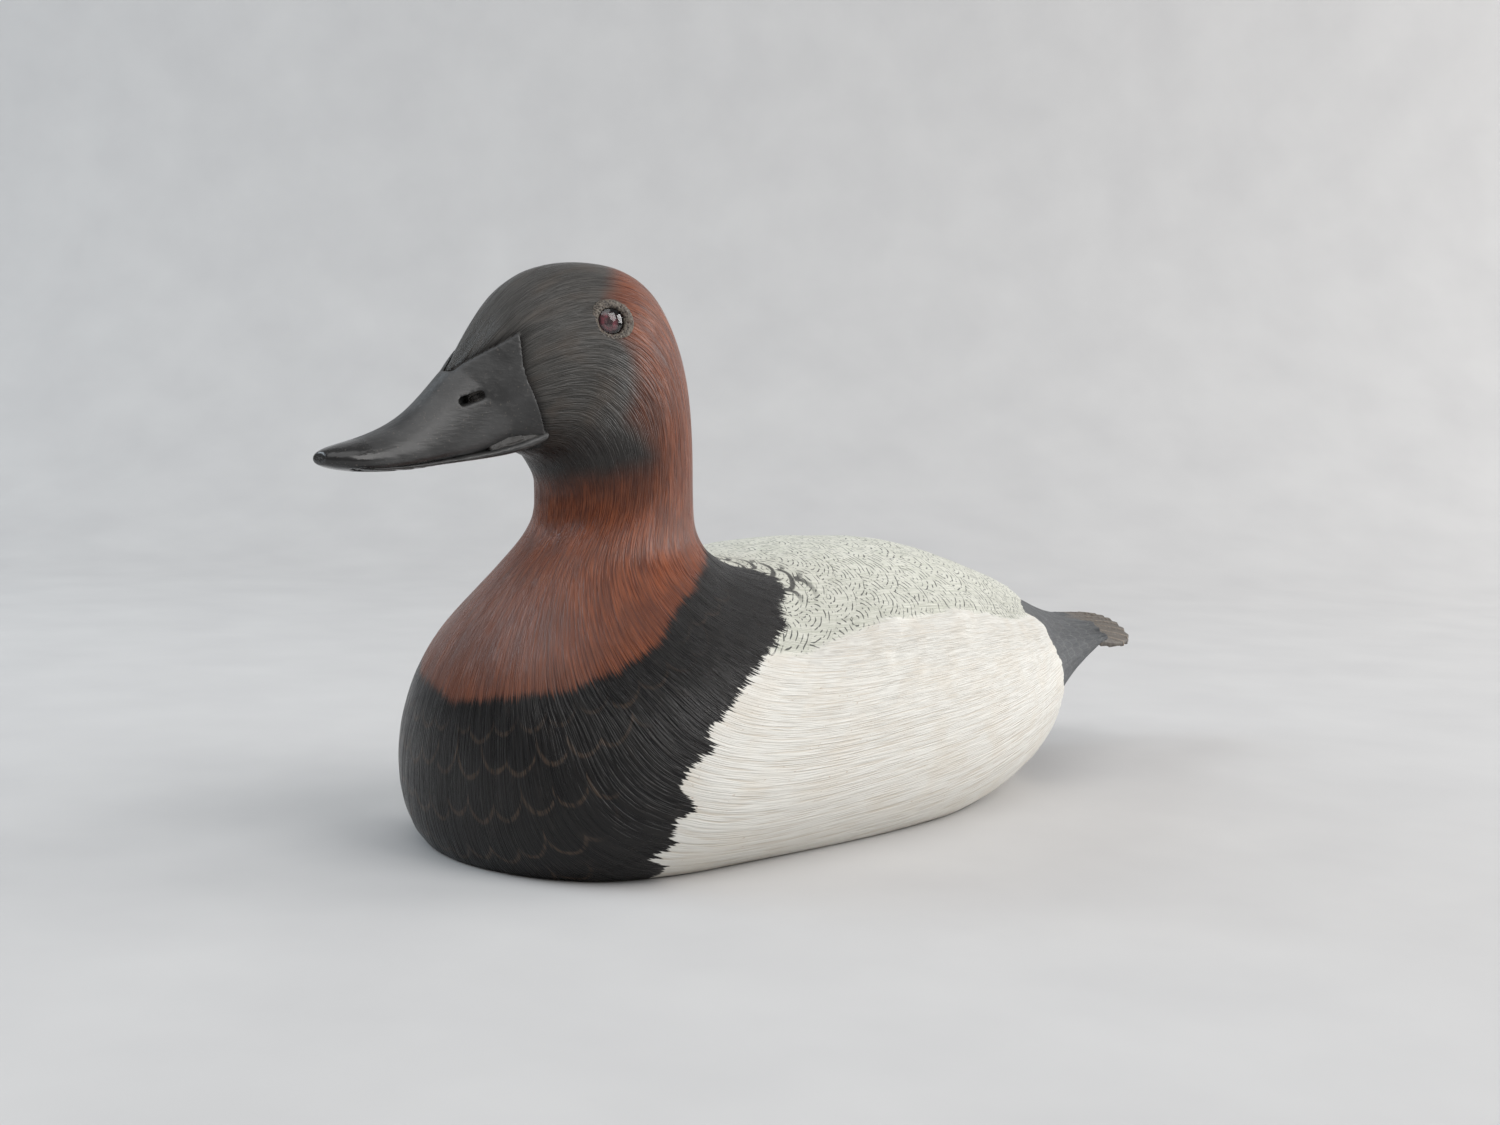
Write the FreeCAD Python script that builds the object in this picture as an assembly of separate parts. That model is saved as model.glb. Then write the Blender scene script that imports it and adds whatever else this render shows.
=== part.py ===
import FreeCAD, Part
import math
import os

# A hollow, hand-carved wooden drake decoy that floats on a flat bottom board.
# Millimetres. +Z up, the bill points along -Y, +X is the bird's left side.
# The origin is the middle of the flat base, on the plane the decoy rests on.
# "Forward" in every name below is the distance towards the bill, so y = -forward.

V = FreeCAD.Vector

# ---- driving dimensions ------------------------------------------------------------
BASE_BOARD_TOP = 22.0        # seam between the bottom board and the hollowed body
SHELF_REAR = (38.0, 97.0)    # forward, z: back of the glued joint under the neck
SHELF_FRONT = (108.0, 82.0)  # forward, z: front of that joint
DOWEL_RADIUS = 5.0           # neck alignment dowel
PEG_RADIUS = 3.5             # pegs between bottom board and body
EYE_GLASS_RADIUS = 5.0       # 10 mm glass eye
EYE_DOME_HEIGHT = 2.5
EYE_RIM_THICKNESS = 1.0
IRIS_THICKNESS = 0.6
LID_RADIUS = 1.35            # thickness of the putty ring's round section
LID_STRETCH = 1.18           # the ring is longer along the head than it is tall
EYE_PROUD = 1.1              # how far the dome stands out of the carved cheek
EYE_PLACE = (85.0, 161.5)    # forward, z of the eye
EYE_AXIS = V(0.955, -0.24, 0.14)
LAG_SCREW_RADIUS = 4.0
LAG_PLACE = 77.0             # forward position of the neck screw
SPOT_FACE_Z = 61.0           # flat seat for the washer inside the hollow
WASHER_RADIUS = 12.0
WASHER_THICKNESS = 2.0
SCREW_HEAD_RADIUS = 4.0
SCREW_SHANK_RADIUS = 2.0
SCREW_SLOT = (9.0, 1.0, 0.8)  # length, width and depth of the slot in a screw head
BASE_SCREW_LENGTH = 46.0
BALLAST_SCREW_LENGTH = 16.0
PLUG_RADIUS = 4.5
PLUG_DEPTH = 5.0
BALLAST_RECESS = 0.5         # how far the ballast pad sits in from the flat base
POCKET_GAP = 0.3             # clearance round the ballast pad
POCKET_CORNER = 4.0          # corner radius of the pockets under the board
BALLAST_SIZE = (26.0, 84.0, 6.0)
BALLAST_CENTRE = -48.0        # forward position of the ballast pad's middle
RING_RADIUS = 8.0            # anchor-line ring, to the middle of its wire
RING_WIRE = 1.3
STAPLE_WIRE = 1.1
STAPLE_BEND = 3.4            # radius of the staple's round end
STAPLE_BEND_Z = 5.0
STAPLE_LEG_TOP = 20.0
LINE_TIE_PLACE = 96.0        # forward position of the staple
RECESS_SIZE = (23.0, 25.0, 9.5)
RECESS_BEHIND = 20.0         # how far the recess runs back from the staple
NOSTRIL_RADIUS = 1.3
NOSTRIL_REAR = (125.5, 138.6)    # forward, z
NOSTRIL_FRONT = (131.0, 136.6)
BILL_DOWEL_RADIUS = 3.0
BILL_DOWEL_ENDS = ((98.0, 139.0), (146.0, 124.5))   # forward, z
NECK_DOWEL_PLACE = 56.0
NECK_DOWEL_SPAN = (76.0, 114.0)
TAIL_PIN_RADIUS = 1.5
TAIL_PIN_OFFSET = 6.0        # each side of the middle
TAIL_PIN_SPAN = (-138.0, -166.0)
TAIL_PIN_Z = 52.0
FAR = 400.0                  # longer than the decoy, for cutting tools

# ---- the carver's lines: stations round the outside of head, neck and body ---------
# Each row is one flat cross-section of the bird, from the nose of the head block,
# over the crown, down the neck and back to the rump:
# (forward, z) on the back line, (forward, z) on the belly line, greatest half
# breadth, where up the section it lies (0 belly, 1 back), and the fullness of the
# section above and below it (2 is an ellipse, more is squarer).
STATIONS = [
    ((131, 145), (122, 123), 7.5, 0.42, 2.0, 2.2),
    ((121, 159), (112, 123), 12.0, 0.43, 2.0, 2.3),
    ((111, 170), (106, 122.5), 15.5, 0.44, 2.0, 2.3),
    ((98, 177), (101, 121), 18.5, 0.46, 2.0, 2.2),
    ((80, 179.5), (97, 119), 21.0, 0.48, 2.1, 2.1),
    ((62, 176), (94, 115), 22.0, 0.50, 2.1, 2.1),
    ((49, 163), (92, 110), 22.0, 0.50, 2.0, 2.0),
    ((42, 146), (92, 105), 22.0, 0.50, 2.0, 2.0),
    ((39, 126), (93, 99), 22.0, 0.50, 2.0, 2.0),
    ((39, 108), (98, 92), 24.0, 0.50, 2.0, 2.0),
    (SHELF_REAR, SHELF_FRONT, 28.5, 0.48, 2.0, 2.0),
    ((34, 91), (121, 64), 41.0, 0.46, 2.0, 2.0),
    ((27, 89), (128, 44), 53.0, 0.45, 2.0, 2.0),
    ((19, 89), (129, 22), 61.0, 0.45, 2.1, 2.1),
    ((8, 90), (118, -3), 67.0, 0.42, 2.2, 2.2),
    ((-7, 91.5), (74, -11), 71.0, 0.42, 2.2, 2.3),
    ((-30, 92), (0, -13), 72.0, 0.42, 2.15, 2.4),
    ((-60, 90), (-45, -12), 69.0, 0.43, 2.0, 2.4),
    ((-92, 83.5), (-88, -6), 60.5, 0.44, 1.8, 2.25),
    ((-121, 75), (-121, 5), 46.5, 0.46, 1.65, 2.0),
    ((-143, 67), (-143, 18), 35.0, 0.44, 1.6, 2.0),
    ((-159, 61), (-160, 28), 29.5, 0.42, 1.6, 2.0),
    ((-173, 57), (-175, 35.5), 25.5, 0.40, 1.7, 2.0),
    ((-186, 55), (-190, 41.5), 22.5, 0.38, 1.8, 2.0),
]

# Bill, in upright cross-sections: forward, z of its top, z of its cutting edge,
# half breadth at the edge and at the top, squareness.
BILL_STATIONS = [
    (102, 166, 128.5, 14.2, 11.5, 3.0),
    (113, 160, 124.8, 13.4, 10.4, 2.9),
    (123, 153, 121.0, 12.4, 8.0, 2.7),
    (132, 145, 118.9, 11.7, 6.6, 2.5),
    (143, 134.5, 117.4, 11.4, 6.4, 2.4),
    (153, 128.6, 116.8, 11.4, 7.0, 2.4),
    (162, 125.6, 116.8, 10.4, 6.8, 2.3),
    (169, 123.8, 117.6, 7.6, 5.4, 2.2),
    (173, 122.2, 118.8, 3.6, 2.8, 2.0),
]
# The bill's rear part is a thin sleeve over the nose of the head. Its border in side
# view, forward and z: back along the brow to the upper corner, then down to the gape.
SLEEVE_LAP = 1.1             # how far the sleeve stands out of the head
SLEEVE_BROW = [(131.5, 144.4), (125.0, 149.6), (119.0, 153.4), (113.8, 157.0)]
SLEEVE_REAR = [(113.8, 157.0), (114.2, 150.5), (113.3, 144.5), (110.8, 139.0), (108.0, 133.3), (104.6, 127.2)]
# From the gape forward along the cutting edge, then down in front of the head.
SLEEVE_BELOW = [(104.6, 127.2), (113.0, 124.6), (123.0, 120.8), (132.0, 118.7), (134.0, 110.0), (200.0, 110.0)]
# Lower mandible: forward, z of its top, z of its underside, half breadth.
MANDIBLE_STATIONS = [
    (103.5, 129.5, 125.2, 13.2),
    (112, 126.2, 122.2, 12.4),
    (120, 123.6, 120.6, 10.4),
    (135, 120.8, 118.9, 9.0),
    (155, 118.8, 117.2, 8.4),
    (166, 119.0, 117.8, 6.0),
]

# Tail fan: forward and z of its ridge, and its thickness at the ridge.
TAIL_RIDGE = [(-148, 56.5, 5.0), (-176, 55.2, 4.8), (-190, 54.4, 4.2), (-206, 53.2, 3.2), (-220, 51.6, 2.4)]
TAIL_ARCH = 0.020            # how fast the fan drops to each side of its ridge, per mm
TAIL_WIDE = 27.0             # half breadth of the blank before its outline is cut
# Right half of the fan's outline in plan: half breadth, forward.
TAIL_OUTLINE = [
    (10.0, -148), (15.5, -162), (20.5, -178), (22.6, -192),
    (22.2, -203), (19.0, -210.5), (10.5, -213), (0.0, -213.5),
]

# Hollow inside the body: forward, half breadth, height of its roof.
HOLLOW_STATIONS = [
    (100, 14, 42), (84, 26, 54), (60, 34, 64), (25, 42, 72),
    (-20, 46, 75), (-60, 40, 73), (-95, 25, 64), (-114, 14, 52),
]

SCREW_PLACES = [(45.0, 60.0), (50.5, -14.0), (40.0, -69.0)]   # half breadth, forward
PEG_PLACES = [(113.0, 10.0), (-129.0, 15.0)]                # forward, z of the lower end
PEG_TOP = 36.0


def place(x, forward, z):
    """A point given by half breadth, distance forward and height."""
    return V(x, -forward, z)


def closed_curve(points):
    curve = Part.BSplineCurve()
    knots = [float(i) for i in range(len(points) + 1)]
    curve.interpolate(Points=points, PeriodicFlag=True, Parameters=knots)
    return curve


def rounded(value, power):
    """sin or cos raised so that the section is a superellipse of that power."""
    return math.copysign(abs(value) ** (2.0 / power), value)


def station_curve(station, grow=0.0, count=28):
    """One section of the carved outside, or of a skin that stands out of it by grow."""
    (top_f, top_z), (low_f, low_z), breadth, widest, full_top, full_low = station
    top = place(0, top_f, top_z)
    low = place(0, low_f, low_z)
    middle = low + (top - low) * widest
    lift = (top - low).normalize() * grow
    top = top + lift
    low = low - lift
    breadth = breadth + grow
    points = []
    for i in range(count):
        angle = math.pi / 2 - 2 * math.pi * i / count
        power = full_top if math.sin(angle) >= 0 else full_low
        reach = (top - middle) if math.sin(angle) >= 0 else (middle - low)
        out = breadth * rounded(math.cos(angle), power)
        points.append(middle + reach * rounded(math.sin(angle), power) + V(out, 0, 0))
    return closed_curve(points)


def bill_curve(station, count=24):
    forward, top, edge, edge_half, top_half, power = station
    points = []
    for i in range(count):
        angle = math.pi / 2 - 2 * math.pi * i / count
        up = 0.5 + 0.5 * rounded(math.sin(angle), power)
        half = edge_half + (top_half - edge_half) * up
        points.append(place(half * rounded(math.cos(angle), power), forward, edge + (top - edge) * up))
    return closed_curve(points)


def mandible_curve(station):
    forward, top, under, half = station
    return bill_curve((forward, top, under, half, half, 3.0), 16)


def hollow_wire(station):
    """An arch with a flat floor on the seam."""
    forward, half, roof = station
    floor = BASE_BOARD_TOP
    left = place(half, forward, floor)
    right = place(-half, forward, floor)
    arch = Part.BSplineCurve()
    rise = roof - floor
    points = []
    for i in range(9):
        angle = math.pi * i / 8
        across = half * rounded(math.cos(angle), 2.6)
        points.append(place(across, forward, floor + rise * rounded(math.sin(angle), 2.6)))
    arch.interpolate(Points=points)
    return Part.Wire([arch.toShape(), Part.makeLine(right, left)])


def skin(curves):
    """A solid with one smooth surface through closed sections that share their knots."""
    rows = [curve.getPoles() for curve in curves]
    spacing = [0.0]
    for before, after in zip(rows, rows[1:]):
        gap = sum((a - b).Length for a, b in zip(before, after)) / len(before)
        spacing.append(spacing[-1] + math.sqrt(gap))
    lines = []
    for column in zip(*rows):
        line = Part.BSplineCurve()
        line.interpolate(Points=list(column), Parameters=spacing)
        lines.append(line)
    along = lines[0]
    around = curves[0]
    surface = Part.BSplineSurface()
    surface.buildFromPolesMultsKnots(
        list(zip(*[line.getPoles() for line in lines])),
        along.getMultiplicities(), around.getMultiplicities(),
        along.getKnots(), around.getKnots(),
        False, True, along.Degree, around.Degree,
    )
    side = surface.toShape()
    caps = [Part.Face(Part.Wire(curve.toShape())) for curve in (curves[0], curves[-1])]
    shell = Part.makeShell([side] + caps)
    shell.sewShape()
    solid = Part.Solid(shell)
    if solid.Volume < 0:
        solid.reverse()
    return solid


def loft(wires):
    return Part.makeLoft(wires, True, False, False, 5)


def cylinder(radius, start, end):
    axis = end - start
    return Part.makeCylinder(radius, axis.Length, start, axis)


def upright(radius, x, forward, z_low, z_high):
    return cylinder(radius, place(x, forward, z_low), place(x, forward, z_high))


def slab(profile, half):
    """A shape with an outline in the bird's side view, reaching half to each side."""
    face = Part.Face(Part.makePolygon([place(-half, f, z) for f, z in profile + profile[:1]]))
    return face.extrude(V(2 * half, 0, 0))


def smooth_edge(profile, half):
    """A smooth line in side view, on the plane that far to the right of the middle."""
    curve = Part.BSplineCurve()
    curve.interpolate(Points=[place(-half, f, z) for f, z in profile])
    return curve.toShape()


def mirrored(shape):
    return shape.mirror(V(0, 0, 0), V(1, 0, 0))


def both_sides(shape):
    return [shape, mirrored(shape)]


def group(shapes):
    return Part.makeCompound(shapes)


# ---- outside of the carved bird -----------------------------------------------------
def carved_outside():
    bird = skin([station_curve(s) for s in STATIONS])
    above_floor = Part.makeBox(FAR, 2 * FAR, FAR, V(-FAR / 2, -FAR, 0))
    return bird.common(above_floor)


def above_shelf():
    """Everything above the sloping joint between neck and body."""
    slope = (SHELF_REAR[1] - SHELF_FRONT[1]) / (SHELF_FRONT[0] - SHELF_REAR[0])

    def height(forward):
        return SHELF_REAR[1] - slope * (forward - SHELF_REAR[0])

    return slab([(FAR, height(FAR)), (-FAR, height(-FAR)), (-FAR, FAR), (FAR, FAR)], FAR / 2)


def below_seam():
    return Part.makeBox(FAR, 2 * FAR, BASE_BOARD_TOP, V(-FAR / 2, -FAR, 0))


# ---- eyes ---------------------------------------------------------------------------
def cheek_point(bird):
    """Where the carved cheek is, at the eye's place."""
    forward, z = EYE_PLACE
    ray = Part.makeLine(place(0, forward, z), place(60, forward, z))
    return max((v.Point for v in ray.common(bird).Vertexes), key=lambda point: point.x)


def eye_pieces(bird):
    """Glass, iris disc and lid ring of the left eye, each made upright and then turned."""
    dome_radius = (EYE_GLASS_RADIUS ** 2 + EYE_DOME_HEIGHT ** 2) / (2 * EYE_DOME_HEIGHT)
    dome = Part.makeSphere(dome_radius, V(0, 0, EYE_DOME_HEIGHT - dome_radius))
    rim_bottom = V(0, 0, -EYE_RIM_THICKNESS)
    blank = Part.makeCylinder(EYE_GLASS_RADIUS, EYE_DOME_HEIGHT + EYE_RIM_THICKNESS, rim_bottom)
    rim = Part.makeCylinder(EYE_GLASS_RADIUS, EYE_RIM_THICKNESS, rim_bottom)
    glass = dome.common(blank).fuse(rim).removeSplitter()
    iris_bottom = V(0, 0, -EYE_RIM_THICKNESS - IRIS_THICKNESS)
    iris = Part.makeCylinder(EYE_GLASS_RADIUS - 0.2, IRIS_THICKNESS, iris_bottom)
    ring = Part.makeTorus(EYE_GLASS_RADIUS, LID_RADIUS)
    stretch = FreeCAD.Matrix()
    stretch.scale(LID_STRETCH, 1.0, 1.0)
    ring = ring.transformGeometry(stretch)
    axis = V(EYE_AXIS).normalize()
    along = V(0, 0, 1).cross(axis).normalize()
    across = axis.cross(along)
    seat = cheek_point(bird) + axis * (EYE_PROUD - EYE_DOME_HEIGHT)
    turn = FreeCAD.Matrix(
        along.x, across.x, axis.x, seat.x,
        along.y, across.y, axis.y, seat.y,
        along.z, across.z, axis.z, seat.z,
        0, 0, 0, 1,
    )
    glass, iris, ring = [shape.transformed(turn) for shape in (glass, iris, ring)]
    return glass, iris, ring


# ---- bill ---------------------------------------------------------------------------
def sleeve_region():
    """Everything in front of and below the border where the bill laps the head."""
    half = 40.0
    above = [(SLEEVE_BELOW[-1][0], 190.0), (SLEEVE_BROW[0][0], 190.0), SLEEVE_BROW[0]]
    corners = [place(-half, f, z) for f, z in SLEEVE_BELOW + above]
    edges = [smooth_edge(SLEEVE_BROW, half), smooth_edge(SLEEVE_REAR, half)]
    edges += [Part.makeLine(a, b) for a, b in zip(corners, corners[1:])]
    return Part.Face(Part.Wire(edges)).extrude(V(2 * half, 0, 0))


def bill_outside():
    """The spoon of the bill and the sleeve behind it, cut to the sleeve's border."""
    spoon = skin([bill_curve(s) for s in BILL_STATIONS])
    sleeve = skin([station_curve(s, SLEEVE_LAP) for s in STATIONS[:6]])
    return spoon.fuse(sleeve).common(sleeve_region())


def mandible_outside():
    return skin([mandible_curve(s) for s in MANDIBLE_STATIONS])


def nostril(side):
    """One slot through the side of the bill, seen from the side as a long oval."""
    rear = place(side * 4.5, *NOSTRIL_REAR)
    front = place(side * 4.5, *NOSTRIL_FRONT)
    out = V(side * 12.0, 0, 0)
    holes = [cylinder(NOSTRIL_RADIUS, point, point + out) for point in (rear, front)]
    run = front - rear
    lift = V(0, -run.z, run.y).normalize() * NOSTRIL_RADIUS
    corners = [rear + lift, front + lift, front - lift, rear - lift, rear + lift]
    bar = Part.Face(Part.makePolygon(corners)).extrude(out)
    return holes[0].multiFuse([holes[1], bar]).removeSplitter()


# ---- tail ---------------------------------------------------------------------------
def tail_wire(station):
    forward, ridge, thick = station
    upper = []
    lower = []
    for i in range(7):
        x = TAIL_WIDE * (1 - i / 3.0)
        drop = TAIL_ARCH * x * x
        upper.append(place(x, forward, ridge - drop))
        lower.append(place(-x, forward, ridge - drop - thick * (1 - 0.5 * abs(x) / TAIL_WIDE)))
    top = Part.BSplineCurve()
    top.interpolate(Points=upper)
    under = Part.BSplineCurve()
    under.interpolate(Points=lower)
    ends = [Part.makeLine(upper[-1], lower[0]), Part.makeLine(lower[-1], upper[0])]
    return Part.Wire([top.toShape(), ends[0], under.toShape(), ends[1]])


def tail_fan():
    blank = loft([tail_wire(s) for s in TAIL_RIDGE])
    right = [place(x, f, 0) for x, f in TAIL_OUTLINE]
    left = [place(-x, f, 0) for x, f in reversed(TAIL_OUTLINE[:-1])]
    edge = Part.BSplineCurve()
    edge.interpolate(Points=right + left)
    front = Part.makeLine(left[-1], right[0])
    outline = Part.Face(Part.Wire([edge.toShape(), front])).extrude(V(0, 0, 120))
    return blank.common(outline)


def tail_pins():
    ends = [place(TAIL_PIN_OFFSET, forward, TAIL_PIN_Z) for forward in TAIL_PIN_SPAN]
    return both_sides(cylinder(TAIL_PIN_RADIUS, *ends))


# ---- inside -------------------------------------------------------------------------
def hollow():
    return loft([hollow_wire(s) for s in HOLLOW_STATIONS])


def neck_screw():
    shelf = SPOT_FACE_Z - WASHER_THICKNESS
    head_height = 5.5
    across_corners = 7.5
    corners = []
    for i in range(7):
        angle = math.pi * i / 3
        corners.append(place(across_corners * math.cos(angle), LAG_PLACE + across_corners * math.sin(angle),
                             shelf - head_height))
    head = Part.Face(Part.makePolygon(corners)).extrude(V(0, 0, head_height))
    shank = upright(LAG_SCREW_RADIUS, 0, LAG_PLACE, shelf, 122)
    tip_start = place(0, LAG_PLACE, 122)
    tip = Part.makeCone(LAG_SCREW_RADIUS, 1.0, 7.0, tip_start, V(0, 0, 1))
    return head.multiFuse([shank, tip]).removeSplitter()


def neck_washer():
    low = SPOT_FACE_Z - WASHER_THICKNESS
    plate = upright(WASHER_RADIUS, 0, LAG_PLACE, low, SPOT_FACE_Z)
    return plate.cut(upright(LAG_SCREW_RADIUS + 0.4, 0, LAG_PLACE, low, SPOT_FACE_Z))


def flat_head_hole(x, forward, head_z, length):
    """The countersunk hole for a wood screw that points up, its head's flat at head_z."""
    at = place(x, forward, head_z)
    head_height = SCREW_HEAD_RADIUS - SCREW_SHANK_RADIUS + 0.6
    head = Part.makeCone(SCREW_HEAD_RADIUS, SCREW_SHANK_RADIUS, head_height, at, V(0, 0, 1))
    shank = upright(SCREW_SHANK_RADIUS, x, forward, head_z + head_height, head_z + length)
    return head.fuse(shank).removeSplitter()


def flat_head_screw(x, forward, head_z, length):
    """The screw that fills such a hole, its head slotted."""
    slot_length, slot_width, slot_depth = SCREW_SLOT
    corner = place(x - slot_length / 2, forward + slot_width / 2, head_z)
    slot = Part.makeBox(slot_length, slot_width, slot_depth, corner)
    return flat_head_hole(x, forward, head_z, length).cut(slot)


def screw_points():
    points = []
    for x, forward in SCREW_PLACES:
        points += [(x, forward), (-x, forward)]
    return points


# ---- ballast ------------------------------------------------------------------------
def rounded_block(size, corner):
    block = Part.makeBox(*size, corner)
    uprights = [edge for edge in block.Edges if abs(edge.Vertexes[0].Z - edge.Vertexes[-1].Z) > 1.0]
    return block.makeFillet(POCKET_CORNER, uprights)


def ballast_blank(grow, low):
    """The ballast pad, or the pocket round it, from the height low to the pad's top."""
    width, length, height = BALLAST_SIZE
    corner = place(-width / 2 - grow, BALLAST_CENTRE + length / 2 + grow, low)
    top = BALLAST_RECESS + height
    return rounded_block((width + 2 * grow, length + 2 * grow, top - low), corner)


def ballast_screw_places():
    reach = BALLAST_SIZE[1] / 2 - 12.0
    return [BALLAST_CENTRE + reach, BALLAST_CENTRE - reach]


# ---- anchor-line ring ---------------------------------------------------------------
def line_tie_recess():
    corner = place(-RECESS_SIZE[0] / 2, LINE_TIE_PLACE + RECESS_SIZE[1] - RECESS_BEHIND, 0)
    return rounded_block(RECESS_SIZE, corner)


def line_tie_staple():
    """A round-ended wire staple whose bend hangs down into the recess."""
    centre = place(0, LINE_TIE_PLACE, STAPLE_BEND_Z)
    bend = Part.makeTorus(STAPLE_BEND, STAPLE_WIRE, centre, V(1, 0, 0))
    lower_half = Part.makeBox(20, 20, 10, centre + V(-10, -10, -10))
    leg_places = [LINE_TIE_PLACE - STAPLE_BEND, LINE_TIE_PLACE + STAPLE_BEND]
    legs = [upright(STAPLE_WIRE, 0, forward, STAPLE_BEND_Z, STAPLE_LEG_TOP) for forward in leg_places]
    return bend.common(lower_half).multiFuse(legs).removeSplitter()


def line_tie_ring():
    """Lies flat in the recess, threaded through the staple's bend."""
    rest_z = STAPLE_BEND_Z - (STAPLE_BEND - STAPLE_WIRE) + RING_WIRE + 0.25
    return Part.makeTorus(RING_RADIUS, RING_WIRE, place(0, LINE_TIE_PLACE - RING_RADIUS, rest_z), V(0, 0, 1))


def build():
    bird = carved_outside()
    upper_half_space = above_shelf()
    glass, iris, ring = eye_pieces(bird)
    eye_hole = glass.fuse(iris)
    bill_blank = bill_outside()
    mandible_blank = mandible_outside()
    bill_dowel = cylinder(BILL_DOWEL_RADIUS, *[place(0, f, z) for f, z in BILL_DOWEL_ENDS])
    neck_dowel = upright(DOWEL_RADIUS, 0, NECK_DOWEL_PLACE, *NECK_DOWEL_SPAN)
    lag = neck_screw()
    washer = neck_washer()
    fan = tail_fan()
    pins = tail_pins()
    pegs = [upright(PEG_RADIUS, 0, forward, low, PEG_TOP) for forward, low in PEG_PLACES]
    screws = [flat_head_screw(x, f, PLUG_DEPTH, BASE_SCREW_LENGTH) for x, f in screw_points()]
    screw_holes = [flat_head_hole(x, f, PLUG_DEPTH, BASE_SCREW_LENGTH) for x, f in screw_points()]
    plugs = [upright(PLUG_RADIUS, x, f, 0, PLUG_DEPTH) for x, f in screw_points()]
    weight_places = ballast_screw_places()
    weight_screws = [flat_head_screw(0, f, BALLAST_RECESS, BALLAST_SCREW_LENGTH) for f in weight_places]
    weight_holes = [flat_head_hole(0, f, BALLAST_RECESS, BALLAST_SCREW_LENGTH) for f in weight_places]
    staple = line_tie_staple()

    nodes = {}

    # Head: the carved block above the shelf, less everything let into it.
    head = bird.common(upper_half_space)
    lids = both_sides(ring)
    let_into_head = both_sides(eye_hole) + lids + [bill_dowel, neck_dowel, lag, mandible_blank]
    nodes["head_block"] = head.cut(let_into_head)

    # Bill: a hardwood sleeve that laps the nose of the head block.
    bill = bill_blank.cut([bird, mandible_blank, bill_dowel, nostril(1), nostril(-1)])
    nodes["bill_upper"] = bill
    nodes["bill_lower"] = mandible_blank
    nodes["bill_dowel"] = bill_dowel

    for side, turn in (("left", lambda shape: shape), ("right", mirrored)):
        nodes[side + "_eye_glass"] = turn(glass)
        nodes[side + "_eye_iris"] = turn(iris)
        nodes[side + "_eyelid"] = turn(ring.cut(eye_hole))

    nodes["neck_dowel"] = neck_dowel
    nodes["neck_screw"] = lag
    nodes["neck_washer"] = washer

    # Body: hollowed from below, with a flat seat for the washer.
    spot_face = upright(WASHER_RADIUS + 1.0, 0, LAG_PLACE, BASE_BOARD_TOP, SPOT_FACE_Z)
    clearance = upright(LAG_SCREW_RADIUS + 0.5, 0, LAG_PLACE, SPOT_FACE_Z, 100)
    let_in = [hollow(), spot_face, clearance, neck_dowel, fan] + pins + pegs + screw_holes
    nodes["body_upper"] = bird.cut([upper_half_space, below_seam()] + let_in)

    # Bottom board, with pockets for ballast, anchor-line ring and plugged screws.
    pockets = [ballast_blank(POCKET_GAP, 0.0), line_tie_recess(), staple]
    board_cuts = pockets + pegs + screw_holes + plugs + weight_holes
    nodes["base_board"] = bird.common(below_seam()).cut(board_cuts)

    nodes["tail_insert"] = fan.cut(pins)
    nodes["tail_pins"] = group(pins)
    nodes["body_pegs"] = group(pegs)
    nodes["base_screws"] = group(screws)
    nodes["screw_plugs"] = group(plugs)
    nodes["ballast_weight"] = ballast_blank(0.0, BALLAST_RECESS).cut(weight_holes)
    nodes["ballast_screws"] = group(weight_screws)
    nodes["line_tie_staple"] = staple
    nodes["line_tie_ring"] = line_tie_ring()
    return nodes


os.makedirs("parts", exist_ok=True)
for name, shape in build().items():
    shape.exportStep("parts/" + name + ".step")
    print(name, "solids", len(shape.Solids), "valid", shape.isValid(), "volume", round(shape.Volume))
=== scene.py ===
import math

import bmesh
import bpy
import numpy as np
from mathutils import Matrix, Vector, kdtree
from mathutils.bvhtree import BVHTree


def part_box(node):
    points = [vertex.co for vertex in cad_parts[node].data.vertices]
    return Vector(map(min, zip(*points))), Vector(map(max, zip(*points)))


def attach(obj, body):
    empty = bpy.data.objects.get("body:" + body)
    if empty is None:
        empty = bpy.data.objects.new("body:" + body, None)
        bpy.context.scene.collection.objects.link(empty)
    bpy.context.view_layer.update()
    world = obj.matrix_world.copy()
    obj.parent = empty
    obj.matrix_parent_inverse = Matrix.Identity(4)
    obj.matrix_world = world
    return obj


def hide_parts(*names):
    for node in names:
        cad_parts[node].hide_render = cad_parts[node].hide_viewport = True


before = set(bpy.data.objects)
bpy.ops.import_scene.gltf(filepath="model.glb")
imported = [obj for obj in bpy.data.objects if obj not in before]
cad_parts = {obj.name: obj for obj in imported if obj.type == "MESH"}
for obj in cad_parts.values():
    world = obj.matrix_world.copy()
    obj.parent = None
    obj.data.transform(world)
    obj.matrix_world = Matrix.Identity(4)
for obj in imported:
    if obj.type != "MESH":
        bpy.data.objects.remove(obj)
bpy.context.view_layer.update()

# A carved and painted canvasback drake decoy. The CAD gives the carved shape and every
# hard piece. This script lays a fine skin over the carved wood, with its rows and columns
# running the way the feathers run, cuts the carver's and burner's relief into it, and
# paints it. Lengths below are millimetres unless a name says otherwise; the bill points
# along -Y, and "forward" is -y.

MM = 0.001
rng = np.random.default_rng(20)

SEAM_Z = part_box("base_board")[1].z / MM          # top of the bottom board
EYE_CENTRE = {}                                  # filled in below, by side

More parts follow.
